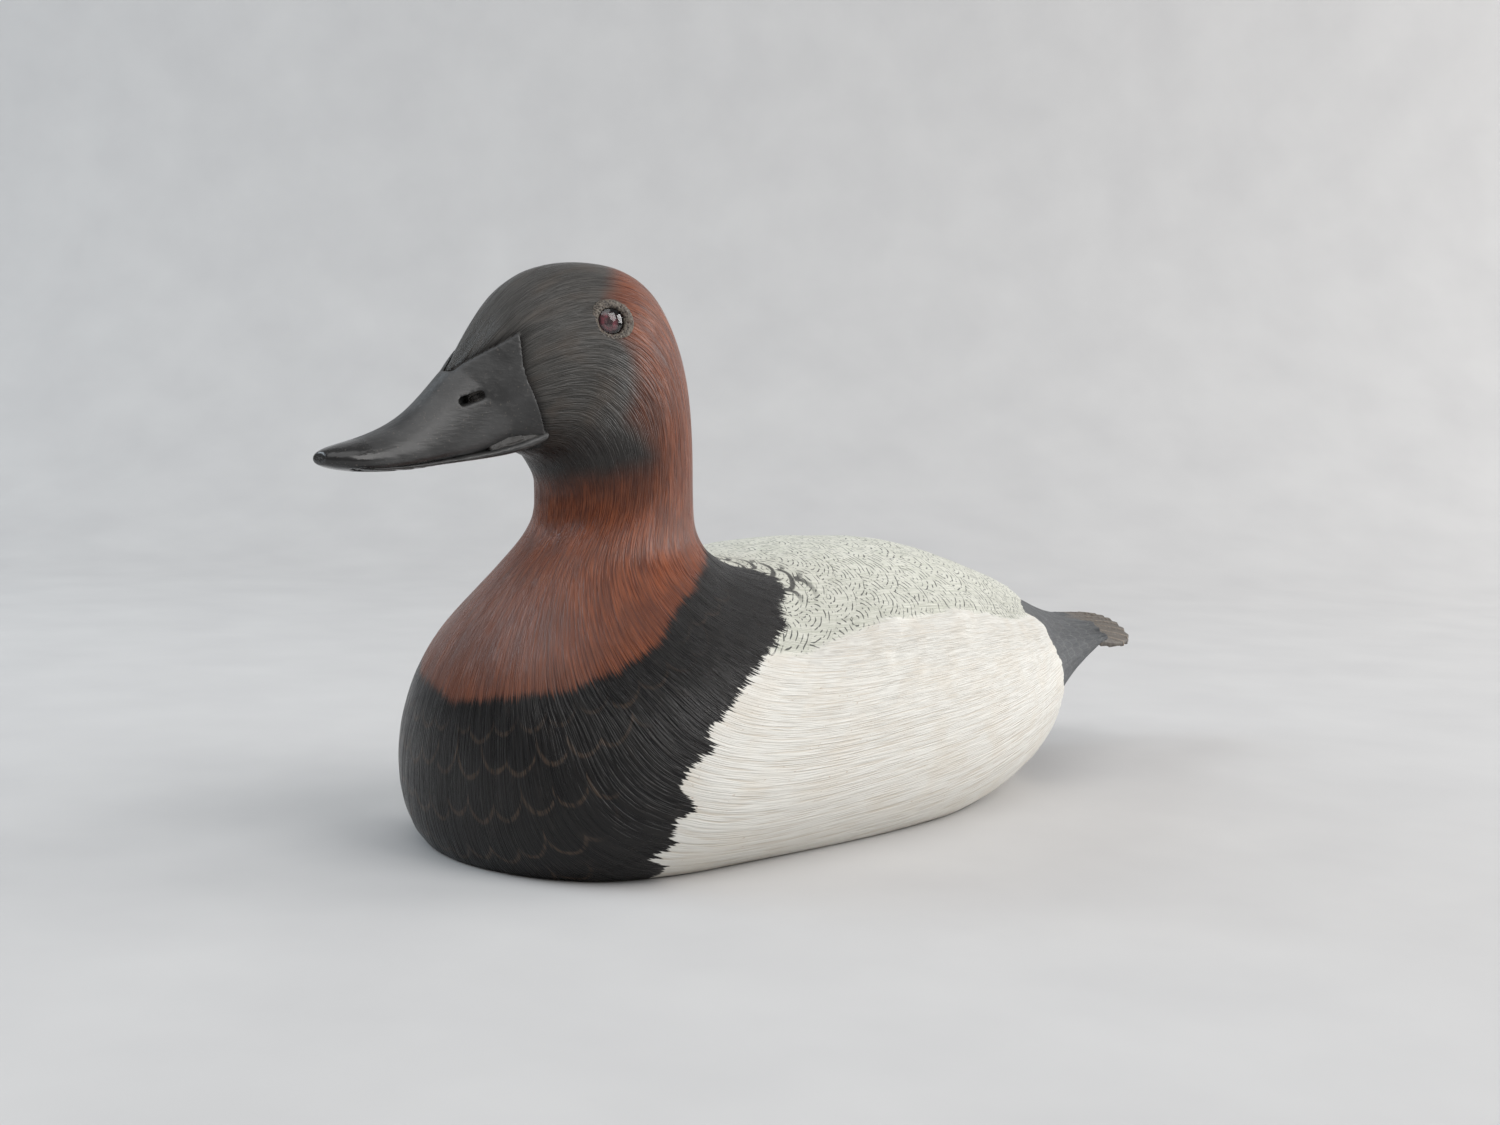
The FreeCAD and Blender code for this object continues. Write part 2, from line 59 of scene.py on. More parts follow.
# Planes across the bird that the feathers flow through, from the nose of the head block
# over the crown, down the neck, round the breast and back to the rump:
# ((forward, z) on the back line, (forward, z) on the belly line).
FANS = [
    ((131, 145), (122, 123)), ((111, 170), (106, 122)), ((80, 179.5), (97, 119)),
    ((49, 163), (92, 110)), ((39, 126), (93, 99)), ((38, 97), (108, 82)),
    ((27, 89), (128, 44)), ((8, 90), (118, -3)), ((-30, 92), (0, -13)),
    ((-92, 85), (-88, -6)), ((-143, 67), (-143, 18)), ((-186, 54), (-190, 39)),
]
SHELF_FAN = 5                # the fan that lies on the glued joint between neck and body
MIDDLE_SHARE = 0.46          # how far up from the belly line each ring has its middle
RAY_STEP = 0.02              # how far past one surface the search for the next begins
WIDEST = 90.0                # farther out than any wood
SEARCH = (1.35, 8.0)         # a ray looks this many half widths out, and this much farther
UNDERSIDE = 0.5              # wood lower than this is the flat underside
EYE_CLEARING = 8.6           # radius round the eye where the skin isn't measured
EYE_REGION = (10.0, 140.0)   # the eyes lie farther out and higher than this


# ---- Numbers ----
def smooth(x, low, high):
    t = np.clip((x - low) / (high - low), 0.0, 1.0)
    return t * t * (3 - 2 * t)


def spline(values, at):
    """Catmull-Rom through values at 0, 1, 2 and so on."""
    values = np.asarray(values, float)
    last = len(values) - 1
    at = np.clip(at, 0, last)
    i = np.minimum(np.floor(at).astype(int), last - 1)
    t = (at - i)[..., None]
    a = values[np.maximum(i - 1, 0)]
    b = values[i]
    c = values[i + 1]
    d = values[np.minimum(i + 2, last)]
    squared = (2 * a - 5 * b + 4 * c - d) * t ** 2
    cubed = (3 * b - a - 3 * c + d) * t ** 3
    return 0.5 * (2 * b + (c - a) * t + squared + cubed)


def gaussian(width):
    reach = max(1, int(round(3 * width)))
    k = np.exp(-0.5 * (np.arange(-reach, reach + 1) / width) ** 2)
    return k / k.sum()


def soften(grid, axis, width, past_ends):
    """Blurs a grid along one axis by that many cells."""
    if width < 0.3:
        return grid
    k = gaussian(width)
    reach = len(k) // 2
    pad = [(0, 0), (0, 0)]
    pad[axis] = (reach, reach)
    padded = np.pad(grid, pad, mode=past_ends)
    count = grid.shape[axis]
    return sum(weight * np.take(padded, np.arange(n, n + count), axis=axis) for n, weight in enumerate(k))


def blur(grid, rows, columns):
    """Softens a half-ring grid. Its columns mirror at the back and belly lines."""
    return soften(soften(grid, 0, rows, "edge"), 1, columns, "reflect")


def ring_blur(grid, rows, columns):
    """Softens a full-ring grid, whose columns wrap round."""
    return soften(soften(grid, 1, columns, "wrap"), 0, rows, "edge")


# ---- The skin, laid over the CAD wood ----
def wood_tree(names):
    """One search tree over the outside of several CAD nodes."""
    points = []
    faces = []
    for name in names:
        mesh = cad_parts[name].data
        first = len(points)
        points += [v.co / MM for v in mesh.vertices]
        faces += [[first + i for i in p.vertices] for p in mesh.polygons]
    return BVHTree.FromPolygons(points, faces)


def eye_frame(side):
    """Centre and outward axis of an eye, in millimetres, from its flat iris disc."""
    points = np.array([v.co[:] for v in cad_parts[side + "_eye_iris"].data.vertices]) / MM
    centre = points.mean(0)
    axis = np.linalg.svd(points - centre)[2][-1]
    axis *= np.sign(axis[0] * centre[0])
    return centre, axis


def last_hit(tree, start, direction, reach):
    """Farthest place a ray meets the wood within reach."""
    found = None
    travelled = 0.0
    origin = Vector(start)
    direction = Vector(direction)
    while travelled < reach:
        hit = tree.ray_cast(origin, direction, reach - travelled)
        if hit[0] is None:
            break
        travelled += hit[3]
        found = travelled
        travelled += RAY_STEP
        origin = Vector(start) + direction * travelled
    return found


def in_space(flat):
    """Pairs (forward, z) as points of the middle plane."""
    return np.stack([0 * flat[:, 0], -flat[:, 0], flat[:, 1]], axis=1)


def measured_half(tree, at, columns):
    """Distances from each fan plane's middle to the wood, on half a ring from back to belly."""
    back = spline([fan[0] for fan in FANS], at)
    belly = spline([fan[1] for fan in FANS], at)
    rows = len(at)
    half = columns // 2 + 1
    turn = np.linspace(0, math.pi, half)
    centre = in_space(belly + MIDDLE_SHARE * (back - belly))
    up = in_space(back - belly)
    tall = np.linalg.norm(up, axis=1)
    up /= tall[:, None]
    side = np.array([1.0, 0.0, 0.0])
    reach = np.full((rows, half), np.nan)
    ways = np.zeros((rows, half, 3))
    eye, eye_axis = EYE_CENTRE["left"]
    for r in range(rows):
        wide = last_hit(tree, centre[r], side, WIDEST) or tall[r] / 2
        limit = SEARCH[0] * max(wide, tall[r] / 2) + SEARCH[1]
        for c in range(half):
            way = math.cos(turn[c]) * tall[r] / 2 * up[r] + math.sin(turn[c]) * wide * side
            way /= np.linalg.norm(way)
            ways[r, c] = way
            found = last_hit(tree, centre[r], way, limit)
            if found is None:
                continue
            place = centre[r] + found * way
            if place[2] < UNDERSIDE:
                continue
            off = place - eye
            off -= (off @ eye_axis) * eye_axis
            near_eye = place[0] > EYE_REGION[0] and place[2] > EYE_REGION[1]
            if near_eye and np.linalg.norm(off) < EYE_CLEARING:
                continue
            reach[r, c] = found
    return centre, ways, turn, reach, belly


def close_below(centre, turn, reach, belly):
    """Carries each open ring on under the flat base, to the belly line."""
    rows, half = reach.shape
    for r in range(rows):
        known = np.flatnonzero(~np.isnan(reach[r]))
        last = known[-1]
        if last == half - 1:
            continue
        start = reach[r, last]
        slope = (reach[r, last] - reach[r, last - 3]) / (turn[last] - turn[last - 3])
        goal = math.hypot(belly[r, 0] + centre[r, 1], belly[r, 1] - centre[r, 2])
        span = turn[-1] - turn[last]
        t = (turn[last + 1:] - turn[last]) / span
        curve = (2 * t ** 3 - 3 * t ** 2 + 1) * start + (t ** 3 - 2 * t ** 2 + t) * slope * span
        reach[r, last + 1:] = curve + (-2 * t ** 3 + 3 * t ** 2) * goal
    return reach


def heal(reach):
    """Fills the remaining gaps (the eye sockets) from what lies round them."""
    gap = np.isnan(reach)
    filled = np.where(gap, np.nanmean(reach, axis=1, keepdims=True), reach)
    for _ in range(600):
        near = np.pad(filled, 1, mode="edge")
        mean = (near[:-2, 1:-1] + near[2:, 1:-1] + near[1:-1, :-2] + near[1:-1, 2:]) / 4
        filled = np.where(gap, mean, filled)
    return filled


def even_rows(tree, low, high, rows):
    """Fan positions spaced so that the widest gap between two rows is the same everywhere."""
    at = np.linspace(low, high, 60)
    centre, ways, turn, reach, belly = measured_half(tree, at, 24)
    place = centre[:, None] + heal(close_below(centre, turn, reach, belly))[..., None] * ways
    gaps = np.linalg.norm(np.diff(place, axis=0), axis=2)
    gaps = np.where(place[1:, :, 2] > -2, gaps, 0).max(axis=1)
    travelled = np.concatenate([[0], np.cumsum(gaps)])
    return np.interp(np.linspace(0, travelled[-1], rows), travelled, at)


def whole(half):
    """A half-ring field carried on round the other side."""
    return np.concatenate([half, half[:, -2:0:-1]], axis=1)


def full_ring(centre, ways, reach):
    half = centre[:, None] + reach[..., None] * ways
    other = half[:, -2:0:-1] * np.array([-1.0, 1.0, 1.0])
    return np.concatenate([half, other], axis=1)


def grid_normals(points):
    around = np.roll(points, -1, axis=1) - np.roll(points, 1, axis=1)
    along = np.gradient(points, axis=0)
    normal = np.cross(along, around)
    normal /= np.linalg.norm(normal, axis=2, keepdims=True) + 1e-9
    outward = points - points.mean(axis=1, keepdims=True)
    return normal * np.sign((normal * outward).sum(axis=2).mean())


# ---- Where the colours and feather groups meet ----
# Each line runs over the left side as (x, forward, z) and is mirrored to the right.
# A line closes round the side that counts as inside with corners far off the bird.
BLACK_TO_WHITE = [
    (0, 38, 97), (18, 38, 89), (24, 32, 86), (35, 27, 83), (44, 33, 78), (49, 39, 75), (53, 43, 71),
    (56, 50, 67), (61, 66, 57), (63, 78, 48), (62, 85, 44), (64, 84, 40), (63, 89, 36),
    (61, 95, 31), (63, 90, 25), (62, 92, 22), (60, 96, 17), (60, 94, 12), (56, 98, 8), (55, 92, 4),
    (50, 92, 0),
]
CHESTNUT_TO_BLACK = [
    (0, 36, 97), (18, 42, 94), (31, 56, 88), (38, 68, 83), (42, 78, 77), (45, 88, 70),
    (44, 100, 63), (37, 111, 58), (26, 120, 54), (12, 126, 52), (0, 127, 50),
]
FLANK_TOP = [
    (58, 70, 56), (59, 56, 64), (60, 40, 63), (59, 22, 67), (58, 1, 70), (58, -12, 70),
    (57, -34, 72), (56, -55, 70), (53, -80, 67), (46, -100, 66), (38, -116, 66),
]
FLANK_FOLDS = [
    [(65, 5, 60), (62, -3, 65), (59, -16, 70), (57, -34, 72)],
    [(62, -39, 64), (59, -48, 67), (57, -54, 70)],
]
WHITE_TO_RUMP = [
    (0, -130, 71), (14, -126, 70), (25, -120, 67), (34, -114, 64), (42, -114, 58), (43, -118, 51),
    (44, -120, 46), (46, -119, 42), (47, -117, 36), (48, -114, 28), (46, -112, 18), (42, -112, 6),
]
FACE_TO_CHESTNUT = [
    (0, 70, 179), (14, 79, 173), (17, 84, 167), (21, 82, 158), (22, 78, 151), (22, 78, 140),
    (21, 80, 132), (22, 72, 126), (22, 70, 120), (18, 82, 116), (10, 92, 114), (0, 95, 113),
]


def chart_of(points, grid):
    """Row and column, as fractions, of places on the left half of the skin."""
    half = COLUMNS // 2 + 1
    left = grid[:, :half].reshape(-1, 3)
    found = []
    for x, forward, z in points:
        near = np.argmin(((left - np.array([x, -forward, z])) ** 2).sum(axis=1))
        found.append((near // half, near % half))
    return np.array(found, float)


def traced(points, grid, steps=14):
    """A smooth line on the skin through the places given: its chart track and its points."""
    corners = chart_of(points, grid)
    track = spline(corners, np.linspace(0, len(corners) - 1, steps * (len(corners) - 1) + 1))
    row = np.clip(track[:, 0], 0, grid.shape[0] - 1.001)
    column = np.clip(track[:, 1], 0, COLUMNS // 2 - 0.001)
    i = row.astype(int)
    j = column.astype(int)
    a = (row - i)[:, None]
    b = (column - j)[:, None]
    near = grid[i, j] * (1 - b) + grid[i, j + 1] * b
    far = grid[i + 1, j] * (1 - b) + grid[i + 1, j + 1] * b
    return track, near * (1 - a) + far * a


def distance_to(line, grid):
    half = COLUMNS // 2 + 1
    left = grid[:, :half].reshape(-1, 1, 3)
    out = np.empty(len(left))
    for first in range(0, len(left), 8000):
        piece = left[first:first + 8000]
        out[first:first + 8000] = np.sqrt(((piece - line[None]) ** 2).sum(axis=2).min(axis=1))
    return out.reshape(grid.shape[0], half)


def inside(track, closing, rows):
    """Which half-ring places lie inside a track closed through the chart corners given."""
    ring = np.concatenate([track, np.array(closing, float)])
    half = COLUMNS // 2 + 1
    r, c = np.meshgrid(np.arange(rows), np.arange(half), indexing="ij")
    within = np.zeros(r.shape, bool)
    for (r0, c0), (r1, c1) in zip(ring, np.roll(ring, -1, axis=0)):
        if c0 == c1:
            continue
        crosses = (c0 > c) != (c1 > c)
        within ^= crosses & (r < (r1 - r0) * (c - c0) / (c1 - c0) + r0)
    return within


def signed(points, closing, grid):
    """Millimetres from a border, above zero inside it, on the half ring."""
    track, line = traced(points, grid)
    track[0, 1] = min(track[0, 1], 0) if points[0][0] == 0 else track[0, 1]
    away = distance_to(line, grid)
    return np.where(inside(track, closing, grid.shape[0]), away, -away)


# ---- The master skin: head and body as one sheet, cut apart later ----
COLUMNS = 420
HEAD_ROWS = 210
BODY_ROWS = 236
EYE_CENTRE["left"] = eye_frame("left")
EYE_CENTRE["right"] = eye_frame("right")

wood = wood_tree([
    "head_block", "body_upper", "base_board", "screw_plugs", "bill_lower", "left_eyelid", "left_eye_glass",
])
places = np.concatenate([
    even_rows(wood, 0.0, SHELF_FAN, HEAD_ROWS),
    even_rows(wood, SHELF_FAN, len(FANS) - 1, BODY_ROWS)[1:],
])
ROWS = len(places)
SHELF_ROW = HEAD_ROWS - 1
centre, ways, turn, reach, belly = measured_half(wood, places, COLUMNS)
carved = heal(close_below(centre, turn, reach, belly))
on_body = smooth(np.arange(ROWS), SHELF_ROW - 40, SHELF_ROW + 20)[:, None]
reach = (1 - on_body) * blur(carved, 2.4, 3.6) + on_body * blur(carved, 2.2, 3.4)

# The fans turn sharply at the shelf, so there the points are eased, not the reaches.
near_shelf = np.exp(-((np.arange(ROWS) - SHELF_ROW) / 9.0) ** 2)[:, None]
reach = (1 - near_shelf) * reach + near_shelf * blur(carved, 0.3, 3.4)


BILL_CLEARANCE = 0.7


def under_bill(reach):
    """Tucks the skin below the bill where the bill laps it. Also gives the share covered."""
    bill = wood_tree(["bill_upper", "bill_lower"])
    covered = np.zeros(reach.shape)
    for r in range(SHELF_ROW // 2):
        for c in range(reach.shape[1]):
            found = last_hit(bill, centre[r], ways[r, c], reach[r, c] + 12)
            if found is not None and found > reach[r, c] - 2:
                covered[r, c] = 1.0
                reach[r, c] = min(reach[r, c], found - BILL_CLEARANCE)
    return reach, covered


reach, covered = under_bill(reach)
bill_groove = whole(np.clip(blur(covered, 2.6, 3.6) * 2.2, 0, 1) * (1 - covered))
skin = full_ring(centre, ways, reach)
eased = np.stack([ring_blur(skin[..., i], 4.0, 0.5) for i in range(3)], axis=-1)
skin = skin + near_shelf[..., None] * (eased - skin)

row_gap = np.linalg.norm(np.diff(skin, axis=0), axis=2)
row_gap = np.where(skin[1:, :, 2] > 0, row_gap, np.nan)
along = np.concatenate([[0], np.cumsum(np.nanmean(row_gap, axis=1))])      # U, millimetres
girth = np.linalg.norm(skin - centre[:, None], axis=2).mean(axis=1)
angle = 2 * math.pi * np.arange(COLUMNS) / COLUMNS
angle = np.where(angle > math.pi, angle - 2 * math.pi, angle)              # 0 back, +left, -right
half_angle = np.abs(angle)

# Barbs on the breast and flank climb towards the back line as they run aft.
BREAST_SHEAR = math.radians(26)
FLANK_SHEAR = math.radians(20)
breast_turn = smooth(along, along[SHELF_ROW] - 5, along[SHELF_ROW] + 70)[:, None]
climb = smooth(along, along[SHELF_ROW] + 30, along[-1] - 30)[:, None]
lift = np.sin(half_angle) ** 2 * smooth(half_angle, 0.5, 1.2)
turned = half_angle + (FLANK_SHEAR * climb + BREAST_SHEAR * breast_turn) * lift
flow_angle = np.sign(angle) * np.minimum(turned, math.pi)

# Chart corners that lie off the bird: before the first row or column, and past the last.
BEFORE = -5
BELOW = 260
BEHIND = ROWS + 5


def edge_field(points, closing):
    """Millimetres from a border all round the skin, above zero on its inner side."""
    return whole(signed(points, closing, skin))


white_edge = edge_field(
    BLACK_TO_WHITE, [(SHELF_ROW + 90, BELOW), (BEHIND, BELOW), (BEHIND, BEFORE), (SHELF_ROW, BEFORE)])
neck_edge = edge_field(
    CHESTNUT_TO_BLACK, [(SHELF_ROW + 60, BELOW), (BEFORE, BELOW), (BEFORE, BEFORE), (SHELF_ROW, BEFORE)])
flank_edge = edge_field(
    FLANK_TOP, [(BEHIND, 60), (BEHIND, BELOW), (SHELF_ROW + 40, BELOW)])
rump_edge = edge_field(
    WHITE_TO_RUMP, [(BEHIND - 20, BELOW), (BEHIND, BELOW), (BEHIND, BEFORE), (BEHIND - 40, BEFORE)])
face_edge = edge_field(
    FACE_TO_CHESTNUT, [(60, BELOW), (BEFORE, BELOW), (BEFORE, BEFORE)])
fold_gaps = [whole(distance_to(traced(fold, skin)[1], skin)) for fold in FLANK_FOLDS]


# ---- Carving: what the knife and the burning pen left in the wood ----
def even_noise(rows, columns):
    """Noise about zero, its blobs that many rows and columns across."""
    field = ring_blur(rng.normal(size=(ROWS, COLUMNS)), rows, columns)
    return field / field.std()


def grain_field(rows, columns):
    """Even noise led along the flow of the feathers."""
    field = even_noise(rows, columns)
    order = 2 * math.pi * np.arange(COLUMNS) / COLUMNS
    shifted = flow_angle % (2 * math.pi)
    led = [np.interp(shifted[r], order, field[r], period=2 * math.pi) for r in range(ROWS)]
    return np.stack(led)


def bell(distance, width):
    return np.exp(-(distance / width) ** 2)


# Depths in millimetres, above zero outward.
body_share = smooth(np.arange(ROWS), SHELF_ROW - 50, SHELF_ROW + 10)[:, None]
relief = (1 - body_share) * grain_field(11, 1.6) * 0.05 + body_share * grain_field(5, 0.8) * 0.06
relief += grain_field(9, 9) * 0.16 * body_share
rump_edge = rump_edge + 2.0 * even_noise(30, 2.2)

# the flank's feathers lie over the back's, with two folds
relief += -0.7 * bell(flank_edge + 1.5, 2.2) * (white_edge > 0)
relief += 0.9 * bell(flank_edge - 6, 7.0) * smooth(white_edge, 0, 8)
for gap in fold_gaps:
    relief += -0.8 * bell(gap, 2.2) + 0.5 * bell(gap - 6, 4.0)

# the groove behind the bill, and the step where the white ends over the rump
relief -= 0.55 * bill_groove
past_white = smooth(rump_edge, -0.7, 0.7)
relief += 0.7 * smooth(rump_edge, -25, -2) * (1 - past_white)
relief += -(1.5 - 0.8 * smooth(rump_edge, 5, 30)) * past_white

SOCKET_RADII = (4.3, 5.6)                # floor and rim
SOCKET_DEPTH = 4.5
skin = skin + relief[..., None] * grid_normals(skin)
for eye, eye_axis in EYE_CENTRE.values():
    off = skin - eye
    off = off - (off @ eye_axis)[..., None] * eye_axis
    socket = (1 - smooth(np.linalg.norm(off, axis=2), *SOCKET_RADII)) * (skin[..., 0] * eye[0] > 0)
    skin = skin - (SOCKET_DEPTH * socket)[..., None] * eye_axis

BARB_GIRTH = 60.0                        # radius that turns an angle into millimetres


def field_of(first, second, third):
    """Three fields as one, each carried over the whole grid."""
    return np.stack([np.broadcast_to(one, (ROWS, COLUMNS)) for one in (first, second, third)], axis=-1)


from_belly = np.sign(angle) * (math.pi - half_angle)
FIELDS = {
    "flow": field_of(np.cos(flow_angle), np.sin(flow_angle), along[:, None] / 100),
    "chart": field_of(angle * BARB_GIRTH, along[:, None], from_belly * BARB_GIRTH),
    "edges": field_of(neck_edge, white_edge, rump_edge),
    "groups": field_of(flank_edge, face_edge, girth[:, None]),
    "marks": field_of(bill_groove, half_angle, 0.0),
}


# ---- Meshes ----
def read(items, what, width=1, kind=float):
    """One value of every item of a mesh, as an array."""
    values = np.empty(len(items) * width, kind)
    items.foreach_get(what, values)
    return values.reshape(-1, width) if width > 1 else values


def mesh_points(mesh):
    return read(mesh.vertices, "co", 3) / MM


def mesh_normals(mesh):
    return read(mesh.vertices, "normal", 3)


def set_mesh_points(mesh, points):
    mesh.vertices.foreach_set("co", (points * MM).astype(np.float32).ravel())
    mesh.update()


def set_field(mesh, name, values):
    layer = mesh.attributes.new(name, "FLOAT_VECTOR", "POINT")
    layer.data.foreach_set("vector", values.astype(np.float32).ravel())


def placed(name, data):
    """A new object in the scene."""
    item = bpy.data.objects.new(name, data)
    bpy.context.scene.collection.objects.link(item)
    return item


def mesh_from(work, name):
    """A mesh from a bmesh that isn't needed any more."""
    mesh = bpy.data.meshes.new(name)
    work.to_mesh(mesh)
    work.free()
    return mesh


def add_piece(name, mesh, materials, stands_for):
    """A visual piece that rides on the carving in place of a CAD node."""
    piece = placed(name, mesh)
    paint_number = read(mesh.polygons, "material_index", kind=int)
    mesh.materials.clear()
    for material in materials:
        mesh.materials.append(material)
    mesh.polygons.foreach_set("material_index", np.minimum(paint_number, len(mesh.materials) - 1))
    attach(piece, "carving")
    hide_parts(stands_for)


def shade_smooth(mesh, sharp_degrees=40):
    mesh.polygons.foreach_set("use_smooth", np.ones(len(mesh.polygons), bool))
    mesh.set_sharp_from_angle(angle=math.radians(sharp_degrees))
    mesh.update()


def carry_shading(mesh, on_cut):
    """Shades the cut edge like the whole skin, so no line shows between the pieces."""
    corner_vertex = read(mesh.loops, "vertex_index", kind=int)
    shading = read(mesh.corner_normals, "vector", 3)
    sizes = read(mesh.polygons, "loop_total", kind=int)
    facing = np.repeat(read(mesh.polygons, "normal", 3), sizes, axis=0)
    points = mesh_points(mesh)
    wanted = {}
    for vertex in np.flatnonzero(on_cut):
        near = skin_tree.find_n(points[vertex], 2)
        weight = np.array([1 / (found[2] + 1e-6) for found in near])
        normal = (weight[:, None] * flat_normals[[found[1] for found in near]]).sum(axis=0)
        wanted[vertex] = normal / np.linalg.norm(normal)
    for corner in np.flatnonzero(on_cut[corner_vertex]):
        normal = wanted[corner_vertex[corner]]
        if facing[corner] @ normal > 0.4:
            shading[corner] = normal
    mesh.normals_split_custom_set(shading.tolist())


def on_shelf(mesh):
    found = [skin_tree.find(point) for point in mesh_points(mesh)]
    return np.array([number // COLUMNS == SHELF_ROW and gap < 0.01 for place, number, gap in found])


def on_seam(mesh):
    return np.abs(mesh_points(mesh)[:, 2] - SEAM_Z) < 0.01


def ring_mesh(name, rows):
    """A closed mesh from the skin rows given, with its painting fields on the points."""
    points = skin[rows]
    count, around = points.shape[:2]
    index = np.arange(count * around).reshape(count, around)
    turned_index = np.roll(index, -1, axis=1)
    quads = np.stack([index[:-1], turned_index[:-1], turned_index[1:], index[1:]], axis=-1).reshape(-1, 4)
    corners = points.reshape(-1, 3)
    ends = np.stack([points[0].mean(axis=0), points[-1].mean(axis=0)])
    corners = np.concatenate([corners, ends]) * MM
    first = count * around
    fans = [(first, index[0, (j + 1) % around], index[0, j]) for j in range(around)]
    fans += [(first + 1, index[-1, j], index[-1, (j + 1) % around]) for j in range(around)]
    mesh = bpy.data.meshes.new(name)
    mesh.from_pydata(corners.tolist(), [], quads.tolist() + [tuple(int(i) for i in f) for f in fans])
    for field_name, values in FIELDS.items():
        part = values[rows]
        part = np.concatenate([part.reshape(-1, 3), part[[0, -1]].mean(axis=1)])
        set_field(mesh, field_name, part)
    face_outward(mesh)
    return mesh


def face_outward(mesh):
    work = bmesh.new()
    work.from_mesh(mesh)
    bmesh.ops.recalc_face_normals(work, faces=work.faces)
    if work.calc_volume(signed=True) < 0:
        bmesh.ops.reverse_faces(work, faces=work.faces)
    work.to_mesh(mesh)
    work.free()


CAP_PAINT = 1                            # the second material of a sliced piece


def cut(work, height, keep_above):
    """Cuts a bmesh at a height in millimetres and closes it with a flat face."""
    geometry = work.verts[:] + work.edges[:] + work.faces[:]
    made = bmesh.ops.bisect_plane(
        work, geom=geometry, dist=1e-7, plane_co=(0, 0, height * MM), plane_no=(0, 0, 1),
        clear_inner=keep_above, clear_outer=not keep_above)
    rim = [e for e in made["geom_cut"] if isinstance(e, bmesh.types.BMEdge)]
    caps = bmesh.ops.holes_fill(work, edges=rim, sides=0)["faces"]
    for face in caps:
        face.material_index = CAP_PAINT
    bmesh.ops.triangulate(work, faces=caps)


def slice_mesh(mesh, name, low, high):
    """The part of a mesh between two heights, in millimetres, closed flat."""
    work = bmesh.new()
    work.from_mesh(mesh)
    if low is not None:
        cut(work, low, True)
    if high is not None:
        cut(work, high, False)
    bmesh.ops.recalc_face_normals(work, faces=work.faces)
    return mesh_from(work, name)


def applied(piece):
    """The mesh of a piece with its modifiers worked in."""
    graph = bpy.context.evaluated_depsgraph_get()
    return bpy.data.meshes.new_from_object(piece.evaluated_get(graph))


def copied_node(name, voxel, rounds):
    """A copy of a CAD node's mesh, evenly remeshed and softened."""
    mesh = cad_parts[name].data.copy()
    mesh.materials.clear()
    holder = placed(name + "_work", mesh)
    remesh = holder.modifiers.new("even", "REMESH")
    remesh.mode = "VOXEL"
    remesh.voxel_size = voxel * MM
    soften = holder.modifiers.new("soften", "SMOOTH")
    soften.factor = 0.5
    soften.iterations = rounds
    mesh = applied(holder)
    bpy.data.objects.remove(holder)
    return mesh


# ---- Materials: a short way of writing node trees ----
def linear(value):
    """One channel of an sRGB colour, 0 to 255, as Blender's linear light."""
    value /= 255
    return value / 12.92 if value <= 0.04045 else ((value + 0.055) / 1.055) ** 2.4


class Value:
    """One number socket, so that sums of sockets read as sums."""

    def __init__(self, tree, socket):
        self.tree = tree
        self.socket = socket

    def op(self, kind, other):
        return self.tree.math(kind, self, other)

    def __add__(self, other):
        return self.op("ADD", other)

    __radd__ = __add__

    def __sub__(self, other):
        return self.op("SUBTRACT", other)

    def __rsub__(self, other):
        return self.tree.math("SUBTRACT", other, self)

    def __mul__(self, other):
        return self.op("MULTIPLY", other)

    __rmul__ = __mul__

    def __truediv__(self, other):
        return self.op("DIVIDE", other)


